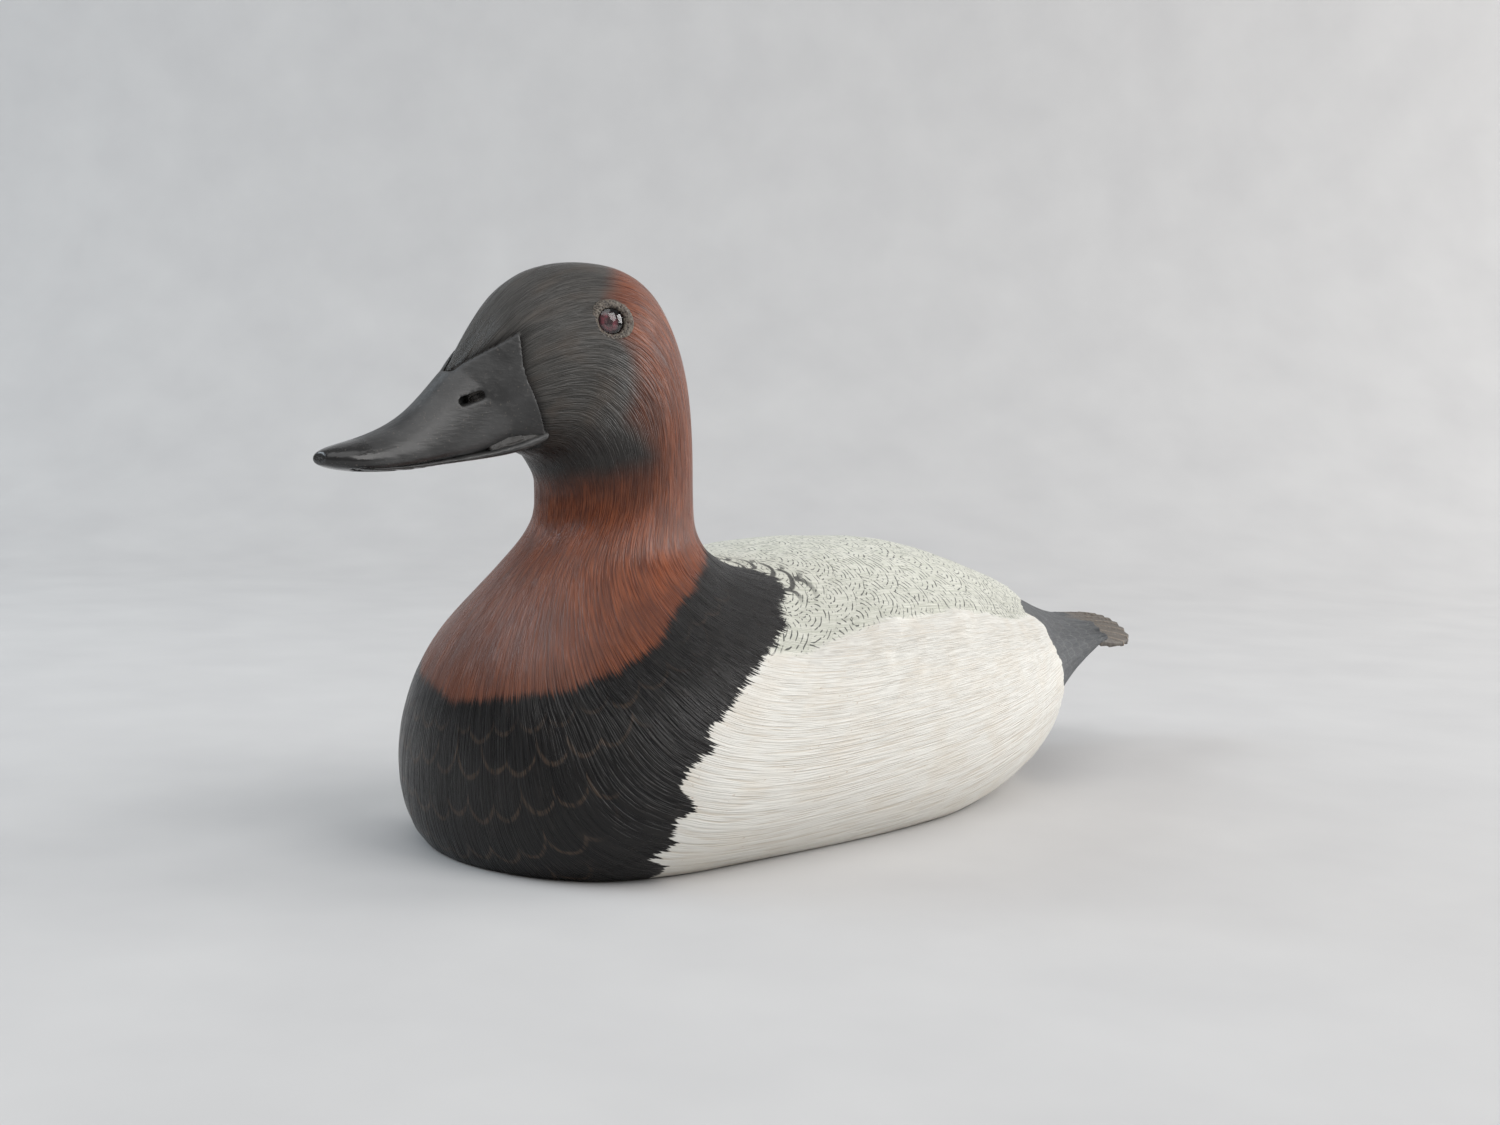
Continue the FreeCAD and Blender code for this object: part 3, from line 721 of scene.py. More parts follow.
class Paint:
    def __init__(self, name):
        self.material = bpy.data.materials.new(name)
        self.material.use_nodes = True
        self.nodes = self.material.node_tree.nodes
        self.links = self.material.node_tree.links
        self.nodes.clear()

    def feed(self, socket, value):
        if isinstance(value, Value):
            value = value.socket
        if isinstance(value, bpy.types.NodeSocket):
            self.links.new(value, socket)
        else:
            socket.default_value = value

    def math(self, kind, a, b=0.0):
        node = self.nodes.new("ShaderNodeMath")
        node.operation = kind
        for socket, value in zip(node.inputs, (a, b)):
            self.feed(socket, value)
        return Value(self, node.outputs[0])

    def field(self, name):
        """The three numbers of a point field."""
        node = self.nodes.new("ShaderNodeAttribute")
        node.attribute_name = name
        split = self.nodes.new("ShaderNodeSeparateXYZ")
        self.links.new(node.outputs["Vector"], split.inputs[0])
        return [Value(self, s) for s in split.outputs]

    def place(self):
        """Object coordinates as three numbers, in millimetres."""
        node = self.nodes.new("ShaderNodeTexCoord")
        split = self.nodes.new("ShaderNodeSeparateXYZ")
        self.links.new(node.outputs["Object"], split.inputs[0])
        return [Value(self, s) * (1 / MM) for s in split.outputs]

    def vector(self, x, y, z=0.0):
        node = self.nodes.new("ShaderNodeCombineXYZ")
        for socket, value in zip(node.inputs, (x, y, z)):
            self.feed(socket, value)
        return node.outputs[0]

    def texture(self, kind, place, output, **settings):
        """A texture read at a place of three numbers."""
        node = self.nodes.new("ShaderNodeTex" + kind)
        self.feed(node.inputs["Vector"], self.vector(*place))
        for name, value in settings.items():
            node.inputs[name].default_value = value
        return Value(self, node.outputs[output])

    def noise(self, x, y, z=0.0, detail=2.0, rough=0.5):
        return self.texture("Noise", (x, y, z), "Fac", Scale=1.0, Detail=detail, Roughness=rough)

    def cloud(self, x_mm, y_mm, z_mm, detail=2.0, rough=0.5):
        """Noise whose blobs are about so many millimetres along each axis."""
        x, y, z = self.place()
        return self.noise(x / x_mm, y / y_mm, z / z_mm, detail, rough)

    def cells(self, size_mm):
        x, y, z = self.place()
        return self.texture("Voronoi", (x / size_mm, y / size_mm, z / size_mm), "Distance", Scale=1.0)

    def random(self, x, y, seed):
        return self.texture("WhiteNoise", (x, y, seed), "Value")

    def ramp(self, value, low, high, to_low=0.0, to_high=1.0):
        node = self.nodes.new("ShaderNodeMapRange")
        node.interpolation_type = "SMOOTHSTEP"
        for socket, item in zip(node.inputs, (value, low, high, to_low, to_high)):
            self.feed(socket, item)
        return Value(self, node.outputs[0])

    def mix(self, factor, a, b):
        """Colours a and b in the share of factor. A colour is a socket or three sRGB numbers."""
        node = self.nodes.new("ShaderNodeMix")
        node.data_type = "RGBA"
        self.feed(node.inputs["Factor"], factor)
        for socket, colour in ((node.inputs[6], a), (node.inputs[7], b)):
            if isinstance(colour, tuple):
                colour = [linear(channel) for channel in colour] + [1.0]
            self.feed(socket, colour)
        return node.outputs[2]

    def blend(self, factor, a, b):
        """Numbers a and b in the share of factor."""
        node = self.nodes.new("ShaderNodeMix")
        node.data_type = "FLOAT"
        self.feed(node.inputs["Factor"], factor)
        self.feed(node.inputs[2], a)
        self.feed(node.inputs[3], b)
        return Value(self, node.outputs[0])

    def bump(self, height, depth):
        """A normal from a height of 0 to 1 that stands for depth millimetres."""
        node = self.nodes.new("ShaderNodeBump")
        node.inputs["Distance"].default_value = depth * MM
        self.feed(node.inputs["Height"], height)
        return node.outputs[0]

    def finish(self, colour, rough, normal=None, metal=0.0, shine=0.5):
        shader = self.nodes.new("ShaderNodeBsdfPrincipled")
        self.feed(shader.inputs["Base Color"], colour)
        self.feed(shader.inputs["Roughness"], rough)
        self.feed(shader.inputs["Metallic"], metal)
        self.feed(shader.inputs["Specular IOR Level"], shine)
        if normal is not None:
            self.feed(shader.inputs["Normal"], normal)
        self.show(shader.outputs[0])
        return self.material

    def show(self, surface):
        output = self.nodes.new("ShaderNodeOutputMaterial")
        self.links.new(surface, output.inputs["Surface"])
        return self.material


# ---- The painted bird ----
class Plumage(Paint):
    """The skin's fields and the burnt strokes that every zone of the bird's paint shares."""

    def __init__(self, name):
        super().__init__(name)
        self.flow = self.field("flow")
        self.across, self.back, self.from_belly = self.field("chart")
        self.in_neck, self.in_white, self.in_rump = self.field("edges")
        self.in_flank, self.in_face, girth_here = self.field("groups")
        # the groove behind the bill, which the face paint darkens with painted shade
        self.groove, self.round_to = self.field("marks")[:2]
        self.z = self.place()[2]
        self.on_trunk = self.ramp(girth_here, 30.0, 52.0)
        neck_coarse = self.strokes(0.42, 10.0, 27.0, 5.0)
        neck_fine = self.strokes(0.28, 7.0, 27.0, 11.0)
        coarse = self.blend(self.on_trunk, neck_coarse, self.strokes(0.52, 16.0, 60.0, 3.0))
        self.fine = self.blend(self.on_trunk, neck_fine, self.strokes(0.3, 10.0, 60.0, 9.0))
        self.barbs = self.ramp(coarse * 0.65 + self.fine * 0.35, 0.30, 0.70)
        self.patch = self.noise(self.across / 14.0, self.back / 14.0, 2.0, detail=3.0)
        self.mottle = self.noise(self.across / 4.0, self.back / 5.0, 6.0)
        self.rag = (coarse - 0.5) * 7.0 + (self.fine - 0.5) * 4.0
        self.wander = (self.along_flow(7.0, 7.0) - 0.5) * 3.5

    def along_flow(self, across, lengthwise, seed=0.0, **kind):
        fx, fy, fu = self.flow
        return self.noise(fx * across + seed, fy * across, fu * lengthwise, **kind)

    def strokes(self, pitch, length, radius, seed):
        """Burnt strokes of that pitch and length, in millimetres, where the bird has that radius."""
        return self.along_flow(radius / pitch, 100.0 / length, seed, detail=1.5, rough=0.55)

    def feathers(self, across, wide, long, reach, seed):
        """Overlapping round-ended feathers. Gives the distance from the owning feather's root
        as a share of its reach (1 at its tip edge) and a random number for each feather."""
        share = None
        tint = None
        row = self.math("FLOOR", self.back / long)
        for ahead in (0, 1, 2):
            this_row = row - float(ahead)
            odd = this_row * 0.5 - self.math("FLOOR", this_row * 0.5)
            column = self.math("ROUND", across / wide - odd)
            luck = self.random(column, this_row, seed)
            more_luck = self.random(column, this_row, seed + 7.0)
            x = across - (column + odd) * wide + (luck - 0.5) * (wide * 0.3)
            y = self.back - this_row * long + (more_luck - 0.5) * (long * 0.35)
            distance = self.math("SQRT", x * x * ((reach / wide) ** 2 * 1.9) + y * y) / reach
            within = self.math("LESS_THAN", distance, 1.0)
            share = distance if share is None else self.blend(within, share, distance)
            tint = luck if tint is None else self.blend(within, tint, luck)
        return share, tint


def chestnut_paint(p):
    """Head and neck: painted shade under the cheek, and paler and greyer low in front."""
    colour = p.mix(p.ramp(p.barbs, 0.1, 0.9), (98, 49, 31), (144, 80, 50))
    colour = p.mix(p.ramp(p.patch, 0.35, 0.7) * 0.45, colour, (74, 43, 34))
    colour = p.mix(p.ramp(p.fine, 0.58, 0.75) * 0.25, colour, (156, 108, 82))
    # painted shade under the cheek, towards the front of the throat
    shade_under_cheek = p.ramp(p.z, 98.0, 120.0) * p.ramp(p.round_to, 0.9, 1.9)
    colour = p.mix(shade_under_cheek * 0.72, colour, (40, 28, 24))
    # paler and greyer low on the front of the neck
    paler_low_front = p.ramp(p.round_to, 1.6, 2.6) * p.ramp(p.z, 96.0, 80.0)
    return p.mix(paler_low_front * 0.35, colour, (104, 78, 70))


def breast_paint(p):
    """Black, with thin brown feather edges low in front."""
    colour = p.mix(p.barbs, (13, 12, 13), (33, 31, 30))
    colour = p.mix(p.ramp(p.mottle, 0.55, 0.75) * 0.3, colour, (52, 46, 42))
    share = p.feathers(p.from_belly, 10.5, 8.5, 9.5, 4.0)[0]
    arc = p.ramp(share + (p.mottle - 0.5) * 0.12, 0.84, 0.90) * p.ramp(share, 1.0, 0.94)
    low_in_front = p.ramp(p.in_white, -14.0, -24.0) * p.ramp(p.in_neck, -4.0, -12.0)
    return p.mix(arc * low_in_front * p.ramp(p.fine, 0.35, 0.6) * 0.5, colour, (98, 80, 66))


def flank_paint(p):
    """Cream white with warm shade between the barbs."""
    colour = p.mix(p.ramp(p.barbs, 0.0, 0.5), (219, 212, 200), (236, 234, 227))
    colour = p.mix(p.ramp(p.patch, 0.42, 0.7) * 0.3, colour, (222, 211, 194))
    dust = p.ramp(p.noise(p.across / 0.9, p.back / 1.6, 1.0, detail=1.0), 0.70, 0.76)
    return p.mix(dust * p.ramp(p.patch, 0.4, 0.6) * 0.5, colour, (176, 150, 126))


def back_paint(p, share, luck):
    """Grey white with broken dark wavy lines, feather by feather, and dark crescents in front."""
    reach = 17.0
    line_gap = 2.6
    wave = p.noise(p.across / 5.0, p.back / 5.0, 5.0) - 0.5
    ring = p.math("SINE", share * (2 * math.pi * reach / line_gap) + wave * 5.0 + luck * 6.0)
    broken = p.ramp(p.noise(p.across / 3.4, p.back / 1.8, 8.0), 0.46, 0.53)
    colour = p.mix(p.ramp(p.barbs, 0.0, 0.7), (196, 198, 184), (222, 222, 211))
    # painted shade: a faint darker line along each feather's tip edge, where it laps the next
    colour = p.mix(p.ramp(share, 0.8, 1.0) * 0.25, colour, (190, 190, 178))
    colour = p.mix(p.ramp(ring, 0.58, 0.86) * broken * 0.92, colour, (60, 62, 60))
    in_front = p.ramp(p.in_white, 15.0, 8.0) * p.ramp(p.in_flank, -14.0, -22.0)
    dark = p.feathers(p.across, 13.0, 9.0, 10.0, 12.0)[0]
    crescent = p.ramp(dark + (p.mottle - 0.5) * 0.2, 0.66, 0.74) * p.ramp(dark, 1.02, 0.90)
    return p.mix(crescent * in_front * 0.9, colour, (46, 46, 46))


def rump_paint(p):
    colour = p.mix(p.barbs, (58, 61, 64), (94, 97, 100))
    share, luck = p.feathers(p.across, 10.0, 8.0, 10.0, 21.0)
    colour = p.mix(p.ramp(share, 0.82, 0.97) * 0.4, colour, (122, 122, 120))
    return p.mix(luck * 0.35, colour, (52, 54, 56))


def face_paint(p):
    """Dark grey brown, with painted shade nearly black at the throat and in the groove behind the bill."""
    colour = p.mix(p.barbs, (50, 49, 47), (80, 78, 75))
    colour = p.mix(p.ramp(p.patch, 0.45, 0.75) * 0.3, colour, (92, 78, 66))
    # painted shade darkening the face down towards the throat
    throat_shade = p.ramp(p.z + (p.along_flow(2.0, 3.0) - 0.5) * 6.0, 134.0, 122.0)
    colour = p.mix(throat_shade * 0.75, colour, (30, 27, 26))
    # painted shade in the groove behind the bill
    return p.mix(p.groove * 0.8, colour, (24, 22, 22))


def plumage(name):
    """The whole bird's paint. The ragged borders follow the strokes."""
    p = Plumage(name)
    is_white = p.ramp(p.in_white + p.rag + p.wander, -0.35, 0.35)
    is_neck = p.ramp(p.in_neck + p.rag * 0.8 + p.wander, -1.6, 1.8)
    is_rump = p.ramp(p.in_rump + p.rag * 0.3, -0.25, 0.25)
    is_flank = p.ramp(p.in_flank + p.rag * 0.5, -1.5, 1.5)
    is_face = p.ramp(p.in_face + p.rag * 0.5 + p.wander * 0.8, -4.0, 4.5)
    share, luck = p.feathers(p.across, 17.0, 13.0, 17.0, 1.0)
    colour = p.mix(is_neck, breast_paint(p), chestnut_paint(p))
    colour = p.mix(is_white, colour, p.mix(is_flank, back_paint(p, share, luck), flank_paint(p)))
    colour = p.mix(is_rump, colour, rump_paint(p))
    colour = p.mix(is_face, colour, face_paint(p))
    rough = p.blend(is_white, 0.3, 0.52) + (p.barbs - 0.5) * 0.12 + (p.patch - 0.5) * 0.24
    height = p.barbs * p.blend(is_white, 1.0, 0.55) * p.blend(p.on_trunk, 0.5, 1.0)
    height = height + p.ramp(share, 1.0, 0.85) * is_white * (1.0 - is_flank) * 0.35
    return p.finish(colour, rough, p.bump(height, 0.36), shine=p.blend(is_white, 0.3, 0.4))


def bare_wood(name, light, dark, pitch=1.3):
    p = Paint(name)
    x, y, z = p.place()
    wander = p.cloud(30.0, 90.0, 30.0) * 6.0
    rings = p.math("SINE", (x * 0.35 + z * 0.9) * (2 * math.pi / (pitch * 3)) + wander * 2.0)
    pores = p.cloud(0.5, 9.0, 0.5)
    colour = p.mix(p.ramp(rings, -1.0, 1.0), light, dark)
    colour = p.mix(p.ramp(pores, 0.55, 0.75) * 0.4, colour, dark)
    return p.finish(colour, p.ramp(pores, 0.3, 0.8, 0.55, 0.75), p.bump(pores, 0.15))


def worn_metal(name, light, dark, rough):
    p = Paint(name)
    cloud = p.cloud(2.5, 2.5, 2.5, detail=4.0, rough=0.6)
    scratch = p.cloud(0.25, 3.0, 0.6)
    colour = p.mix(p.ramp(cloud, 0.35, 0.7), light, dark)
    level = p.ramp(cloud, 0.3, 0.7, rough, rough + 0.22) + (scratch - 0.5) * 0.15
    return p.finish(colour, level, p.bump(scratch * 0.6 + cloud * 0.4, 0.08), metal=1.0)


def bill_paint(name):
    p = Paint(name)
    y, z = p.place()[1:]
    brush = p.cloud(1.2, 5.0, 1.2, detail=3.0)
    cloud = p.cloud(9.0, 12.0, 9.0, detail=3.0)
    fleck = p.cloud(0.7, 0.9, 0.7, detail=1.0)
    colour = p.mix(p.ramp(cloud, 0.3, 0.7), (46, 46, 46), (68, 68, 68))
    colour = p.mix(p.ramp(brush, 0.55, 0.8) * 0.5, colour, (84, 83, 82))
    tip = p.ramp(y, -158.0, -164.0)
    low = p.ramp(z, 126.0, 120.0)
    colour = p.mix(tip * 0.8, colour, (34, 33, 33))
    colour = p.mix(p.ramp(fleck, 0.68, 0.74) * 0.3, colour, (120, 112, 104))
    gloss = p.math("MAXIMUM", tip, low * 0.55)
    rough = p.blend(gloss, 0.42, 0.16) + (brush - 0.5) * 0.2
    return p.finish(colour, rough, p.bump(brush * 0.7 + cloud * 0.3, 0.22))


def tail_paint(name):
    p = Paint(name)
    share, number = p.field("feather")[:2]
    x, y, z = p.place()
    slant = p.noise((x * 0.7 + y * 0.7) / 0.7 + number * 5.0, share * 3.0, z / 3.0)
    cloud = p.cloud(6.0, 9.0, 6.0, detail=3.0)
    aft = p.ramp(y, 168.0, 196.0)
    colour = p.mix(slant, (66, 69, 72), (92, 95, 98))
    colour = p.mix(aft, colour, p.mix(slant, (78, 72, 66), (110, 102, 92)))
    edge = p.ramp(share + (slant - 0.5) * 0.15, 0.80, 0.95)
    colour = p.mix(edge * aft * 0.6, colour, (150, 132, 112))
    # painted shade in the crease along each tail feather's inner edge, under its neighbour, towards the
    # tip
    groove = p.ramp(share, 0.12, 0.02)
    colour = p.mix(groove * p.ramp(y, 172.0, 192.0) * 0.85, colour, (40, 38, 37))
    shaft = p.ramp(p.math("ABSOLUTE", share - 0.55), 0.09, 0.04)
    colour = p.mix(shaft * aft * 0.5, colour, (52, 47, 43))
    return p.finish(colour, 0.5 + (cloud - 0.5) * 0.25, p.bump(slant, 0.25))


def putty(name):
    p = Paint(name)
    dots = p.cells(0.75)
    cloud = p.cloud(2.0, 2.0, 2.0)
    colour = p.mix(p.ramp(dots, 0.2, 0.6), (56, 50, 46), (112, 104, 94))
    colour = p.mix(p.ramp(cloud, 0.45, 0.7) * 0.4, colour, (84, 58, 46))
    return p.finish(colour, 0.5, p.bump(dots, 0.35))


def iris_enamel(side):
    eye, eye_axis = EYE_CENTRE[side]
    p = Paint("iris_" + side)
    x, y, z = p.place()
    dx, dy, dz = (one - float(middle) for one, middle in zip((x, y, z), eye))
    depth = dx * float(eye_axis[0]) + dy * float(eye_axis[1]) + dz * float(eye_axis[2])
    radius = p.math("SQRT", dx * dx + dy * dy + dz * dz - depth * depth)
    spokes = p.noise(dy / radius * 3.0, dz / radius * 3.0, radius * 0.3, detail=3.0)
    red = p.mix(p.ramp(spokes, 0.35, 0.65), (92, 16, 36), (142, 38, 62))
    red = p.mix(p.ramp(radius, 2.6, 4.2), red, (52, 13, 24))
    colour = p.mix(p.ramp(radius, 1.8, 1.2) * 0.7, red, (24, 9, 15))
    return p.finish(colour, 0.35)


def clear_glass(name):
    p = Paint(name)
    haze = p.cloud(1.5, 1.5, 1.5)
    clear = p.nodes.new("ShaderNodeBsdfTransparent")
    clear.inputs["Color"].default_value = (1.0, 0.95, 0.95, 1.0)
    gloss = p.nodes.new("ShaderNodeBsdfGlossy")
    p.feed(gloss.inputs["Roughness"], p.ramp(haze, 0.3, 0.8, 0.02, 0.09))
    rim = p.nodes.new("ShaderNodeFresnel")
    rim.inputs["IOR"].default_value = 1.8
    both = p.nodes.new("ShaderNodeMixShader")
    p.links.new(rim.outputs[0], both.inputs[0])
    p.links.new(clear.outputs[0], both.inputs[1])
    p.links.new(gloss.outputs[0], both.inputs[2])
    return p.show(both.outputs[0])


def floor_cloth(name):
    p = Paint(name)
    cloud = p.cloud(60.0, 60.0, 60.0, detail=3.0)
    return p.finish(p.mix(cloud, (194, 193, 193), (208, 207, 206)), 0.9)


# ---- Pieces ----
feather_paint = plumage("plumage")
sealed_wood = bare_wood("sealed_underside", (150, 128, 98), (118, 94, 68))
cedar = bare_wood("cedar", (186, 142, 100), (150, 104, 70))

flat_normals = grid_normals(skin).reshape(-1, 3)
skin_tree = kdtree.KDTree(len(flat_normals))
for number, point in enumerate(skin.reshape(-1, 3)):
    skin_tree.insert(point, number)
skin_tree.balance()


def add_carving(name, mesh, on_cut, materials, stands_for):
    """A carved and painted piece, shaded so that its cut edge doesn't show."""
    shade_smooth(mesh)
    carry_shading(mesh, on_cut)
    add_piece(name, mesh, materials, stands_for)


head = ring_mesh("head_carving", slice(0, SHELF_ROW + 1))
add_carving("head_carving", head, on_shelf(head), [feather_paint], "head_block")

trunk = ring_mesh("trunk", slice(SHELF_ROW, ROWS))
body = slice_mesh(trunk, "body_carving", SEAM_Z, None)
cut_edge = on_shelf(body) | on_seam(body)
add_carving("body_carving", body, cut_edge, [feather_paint, cedar], "body_upper")

POCKET_CORNER = 3.0
BELOW_BASE = -3.0                        # the cutters start this low
BALLAST_GAP = 0.2
PLUG_HOLE = 4.52
PLUG_BANDS = ((-80, -50), (-10, 30), (30, 90))        # y ranges, each with one plug a side
# The recess the anchor-line ring hangs in, as two corners.
RING_RECESS = ((-11.6, -101.1, BELOW_BASE), (11.6, -75.9, 9.5))


def block(name, low, high):
    """A box with rounded upright edges for cutting a pocket, its corners in millimetres."""
    work = bmesh.new()
    bmesh.ops.create_cube(work, size=1.0)
    size = Vector(high) - Vector(low)
    middle = (Vector(high) + Vector(low)) / 2
    for vertex in work.verts:
        vertex.co = Vector([vertex.co[i] * size[i] + middle[i] for i in range(3)]) * MM
    upright_edges = [e for e in work.edges if abs((e.verts[0].co - e.verts[1].co).z) > 1e-6]
    bmesh.ops.bevel(
        work, geom=upright_edges, offset=POCKET_CORNER * MM, segments=5, affect="EDGES", profile=0.5)
    return mesh_from(work, name)


def well(work, x, y, top):
    """Adds the cylinder of one screw plug's hole to a cutter."""
    radius = PLUG_HOLE * MM
    depth = (top - BELOW_BASE) * MM
    made = bmesh.ops.create_cone(
        work, cap_ends=True, segments=40, radius1=radius, radius2=radius, depth=depth)
    for vertex in made["verts"]:
        vertex.co += Vector((x, y, (BELOW_BASE + top) / 2)) * MM


def pocket_cutter():
    """Everything let into the bottom board, as one mesh to cut with."""
    work = bmesh.new()
    low, high = (np.array(corner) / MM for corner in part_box("ballast_weight"))
    low = low - [BALLAST_GAP, BALLAST_GAP, -BELOW_BASE]
    high = high + [BALLAST_GAP, BALLAST_GAP, BALLAST_GAP / 2]
    work.from_mesh(block("ballast_pocket", low, high))
    work.from_mesh(block("line_tie_recess", *RING_RECESS))
    plugs = mesh_points(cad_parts["screw_plugs"].data)
    for side in (-1, 1):
        for low_y, high_y in PLUG_BANDS:
            near = plugs[(plugs[:, 0] * side > 0) & (plugs[:, 1] > low_y) & (plugs[:, 1] < high_y)]
            middle = (near.max(axis=0) + near.min(axis=0)) / 2
            well(work, middle[0], middle[1], near[:, 2].max() + 0.05)
    bmesh.ops.recalc_face_normals(work, faces=work.faces)
    return mesh_from(work, "pockets")


def pocketed_base():
    """The bottom board with its pockets cut, its flat underside left as sealed wood."""
    board = slice_mesh(trunk, "base_board_blank", 0.0, SEAM_Z)
    board.materials.append(feather_paint)
    board.materials.append(sealed_wood)
    holder = placed("base_work", board)
    cutter = placed("cutter", pocket_cutter())
    cutter.data.materials.append(sealed_wood)
    carve = holder.modifiers.new("pockets", "BOOLEAN")
    carve.object = cutter
    carve.operation = "DIFFERENCE"
    carve.solver = "EXACT"
    carve.use_self = True
    carve.material_mode = "TRANSFER"
    mesh = applied(holder)
    mesh.name = "base_carving"
    bpy.data.objects.remove(holder)
    bpy.data.objects.remove(cutter)
    for face in mesh.polygons:
        if face.normal.z < -0.9 and face.center.z < 0.5 * MM:
            face.material_index = CAP_PAINT
    return mesh


base = pocketed_base()
add_carving("base_carving", base, on_seam(base), [feather_paint, sealed_wood], "base_board")

bill_coat = bill_paint("bill")
for half in ("bill_upper", "bill_lower"):
    bill = copied_node(half, 0.45, 3)
    shade_smooth(bill, 50)
    add_piece(half + "_carving", bill, [bill_coat], half)

lid_putty = putty("lid_putty")
for lid_name in ("left_eyelid", "right_eyelid"):
    lid = copied_node(lid_name, 0.3, 2)
    raised = 0.3 + 0.06 * rng.normal(size=len(lid.vertices))
    set_mesh_points(lid, mesh_points(lid) + mesh_normals(lid) * raised[:, None])
    shade_smooth(lid, 60)
    add_piece(lid_name + "_putty", lid, [lid_putty], lid_name)


def tail_mesh():
    """The tail blank cut into overlapping feathers, the middle one on top."""
    mesh = copied_node("tail_insert", 0.7, 4)
    points = mesh_points(mesh)
    normal = mesh_normals(mesh)
    pivot = 100.0                      # where along the bird the quills would meet
    quill = 0.034                      # angle between neighbouring feathers
    run = np.hypot(points[:, 0], points[:, 1] - pivot)
    turn_out = np.abs(np.arctan2(points[:, 0], points[:, 1] - pivot)) / quill + 0.5
    number = np.floor(turn_out)
    share = turn_out - number
    aft = smooth(points[:, 1], 184, 202)
    step = np.where(normal[:, 2] > 0, 1.0, -1.0) * 0.75 * (share - 0.6)
    points[:, 2] += step * aft * smooth(np.abs(normal[:, 2]), 0.2, 0.6)
    tip = smooth(run, 103, 112)
    points[:, 1] -= tip * 4.4 * np.abs(share - 0.45) ** 1.5
    set_mesh_points(mesh, points)
    set_field(mesh, "feather", np.stack([share, number, 0 * number], axis=1))
    return mesh


tail = tail_mesh()
shade_smooth(tail, 50)
add_piece("tail_feathers", tail, [tail_paint("tail")], "tail_insert")

brass = worn_metal("brass", (196, 160, 92), (138, 104, 56), 0.28)
zinc = worn_metal("zinc_steel", (186, 188, 190), (140, 142, 146), 0.32)
lead = worn_metal("lead", (120, 122, 126), (86, 88, 92), 0.5)
FINISHES = {
    "bill_dowel": cedar, "neck_dowel": cedar, "body_pegs": cedar, "screw_plugs": sealed_wood,
    "neck_screw": zinc, "neck_washer": zinc, "tail_pins": brass, "base_screws": brass,
    "ballast_weight": lead, "ballast_screws": brass, "line_tie_staple": brass, "line_tie_ring": brass,
    "left_eye_glass": clear_glass("eye_glass"), "right_eye_glass": clear_glass("eye_glass"),
    "left_eye_iris": iris_enamel("left"), "right_eye_iris": iris_enamel("right"),
}
for node_name, material in FINISHES.items():
    for node_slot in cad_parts[node_name].material_slots:
        node_slot.material = material


# ---- Floor, light and camera ----
CAMERA_TURN = math.radians(43.33)        # round the bird from straight ahead, to its left
CAMERA_RISE = math.radians(5.0)
CAMERA_ROLL = math.radians(1.4)
CAMERA_TARGET_M = (0, -0.00267, 0.08431)
CAMERA_AWAY_M = 0.6129
CLOTH_TURN = math.radians(43.3)
CLOTH_SUNK_M = 0.0003                    # keeps the cloth clear of the flat underside
CLOTH_SIDE_M = 2.2
CLOTH_TOP_M = 2.2
CLOTH_FRONT_M = -1.4
CLOTH_BACK_M = 0.75                      # where the cloth starts to curve up
CLOTH_BEND_M = 0.5


def backdrop():
    """A pale floor that curves up behind the bird."""
    away = Vector((-math.sin(CLOTH_TURN), math.cos(CLOTH_TURN), 0))
    sideways = Vector((math.cos(CLOTH_TURN), math.sin(CLOTH_TURN), 0)) * CLOTH_SIDE_M
    profile = [(CLOTH_FRONT_M, 0.0), (0.0, 0.0), (CLOTH_BACK_M, 0.0)]
    for bend in np.radians(np.arange(1, 13) * 7.5):
        risen = CLOTH_BEND_M * (1 - math.cos(bend))
        profile.append((CLOTH_BACK_M + CLOTH_BEND_M * math.sin(bend), risen))
    profile.append((CLOTH_BACK_M + CLOTH_BEND_M, CLOTH_TOP_M))
    work = bmesh.new()
    rows = []
    for distance, height in profile:
        middle = away * distance + Vector((0, 0, height - CLOTH_SUNK_M))
        rows.append([work.verts.new(middle - sideways), work.verts.new(middle + sideways)])
    for one, other in zip(rows, rows[1:]):
        work.faces.new((one[0], one[1], other[1], other[0]))
    mesh = mesh_from(work, "backdrop")
    mesh.polygons.foreach_set("use_smooth", np.ones(len(mesh.polygons), bool))
    mesh.materials.append(floor_cloth("backdrop_cloth"))
    placed("backdrop", mesh)


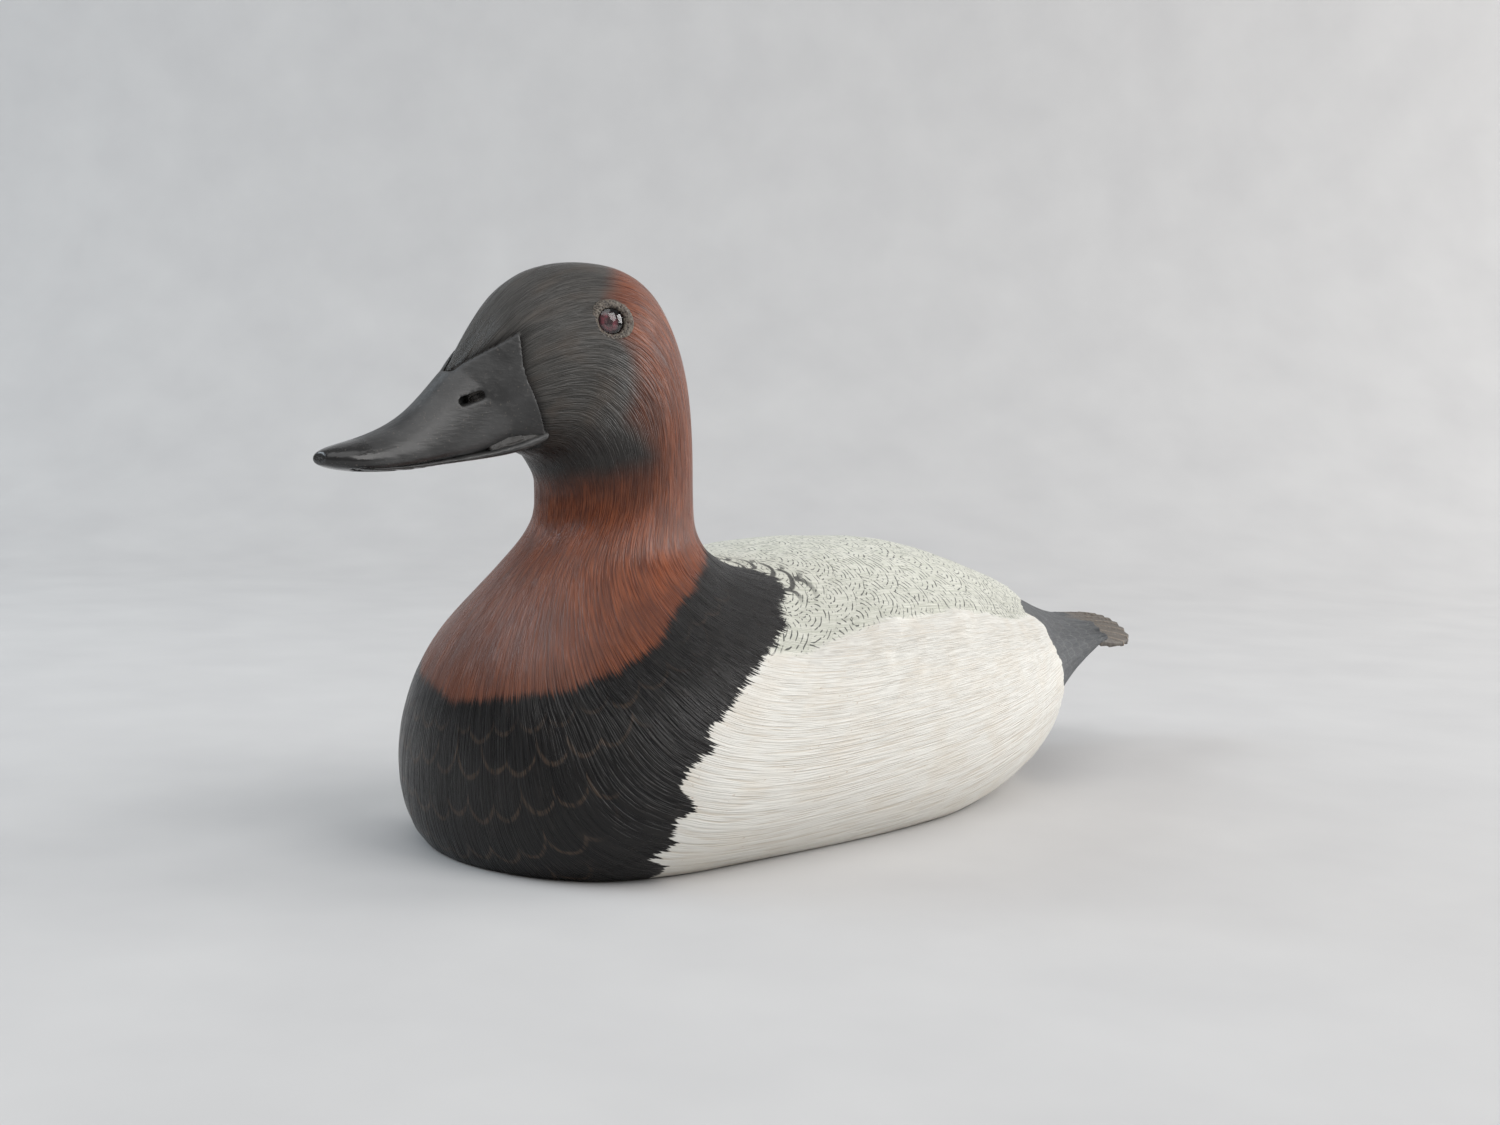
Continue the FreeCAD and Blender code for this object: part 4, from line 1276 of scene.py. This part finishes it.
def area_light(name, place_m, target_m, size, watts, colour):
    data = bpy.data.lights.new(name, "AREA")
    data.shape = "SQUARE"
    data.size = size
    data.energy = watts
    data.color = colour
    lamp = placed(name, data)
    lamp.location = place_m
    lamp.rotation_mode = "QUATERNION"
    lamp.rotation_quaternion = (Vector(target_m) - Vector(place_m)).to_track_quat("-Z", "Y")


def camera():
    """Stands to the bird's left front, a little above its back."""
    level = Vector((math.sin(CAMERA_TURN), -math.cos(CAMERA_TURN), 0))
    back = level * math.cos(CAMERA_RISE) + Vector((0, 0, math.sin(CAMERA_RISE)))
    level_right = Vector((math.cos(CAMERA_TURN), math.sin(CAMERA_TURN), 0))
    level_up = back.cross(level_right)
    right = math.cos(CAMERA_ROLL) * level_right + math.sin(CAMERA_ROLL) * level_up
    up = -math.sin(CAMERA_ROLL) * level_right + math.cos(CAMERA_ROLL) * level_up
    data = bpy.data.cameras.new("camera")
    data.sensor_width = 36.0
    data.lens = 43.25
    data.clip_start = 0.02
    data.clip_end = 20.0
    view = placed("camera", data)
    place_m = Vector(CAMERA_TARGET_M) + back * CAMERA_AWAY_M
    rows = [[right[i], up[i], back[i], place_m[i]] for i in range(3)]
    view.matrix_world = Matrix(rows + [[0, 0, 0, 1]])
    bpy.context.scene.camera = view


backdrop()
camera()
LIGHTS = [
    # name, place and target in metres, size, watts, colour
    ("window_right", (1.6, 0.3, 1.4), (0, 0, 0.08), 1.3, 19.0, (1.0, 0.985, 0.97)),
    ("window_behind", (0.9, 1.6, 0.8), (0, 0, 0.1), 1.1, 18.0, (1.0, 0.99, 0.98)),
    ("window_left", (-1.1, -0.9, 1.0), (0, 0, 0.1), 1.0, 13.0, (0.82, 0.92, 1.0)),
    ("ceiling", (0.4, -0.6, 2.0), (0, 0, 0.08), 1.8, 14.0, (1.0, 1.0, 1.0)),
]
for light in LIGHTS:
    area_light(*light)
world = bpy.data.worlds.new("studio")
bpy.context.scene.world = world
world.use_nodes = True
sky = world.node_tree.nodes["Background"]
sky.inputs["Color"].default_value = (0.8, 0.81, 0.83, 1.0)
sky.inputs["Strength"].default_value = 0.27
bpy.context.scene.view_settings.view_transform = "Standard"

bpy.context.view_layer.update()
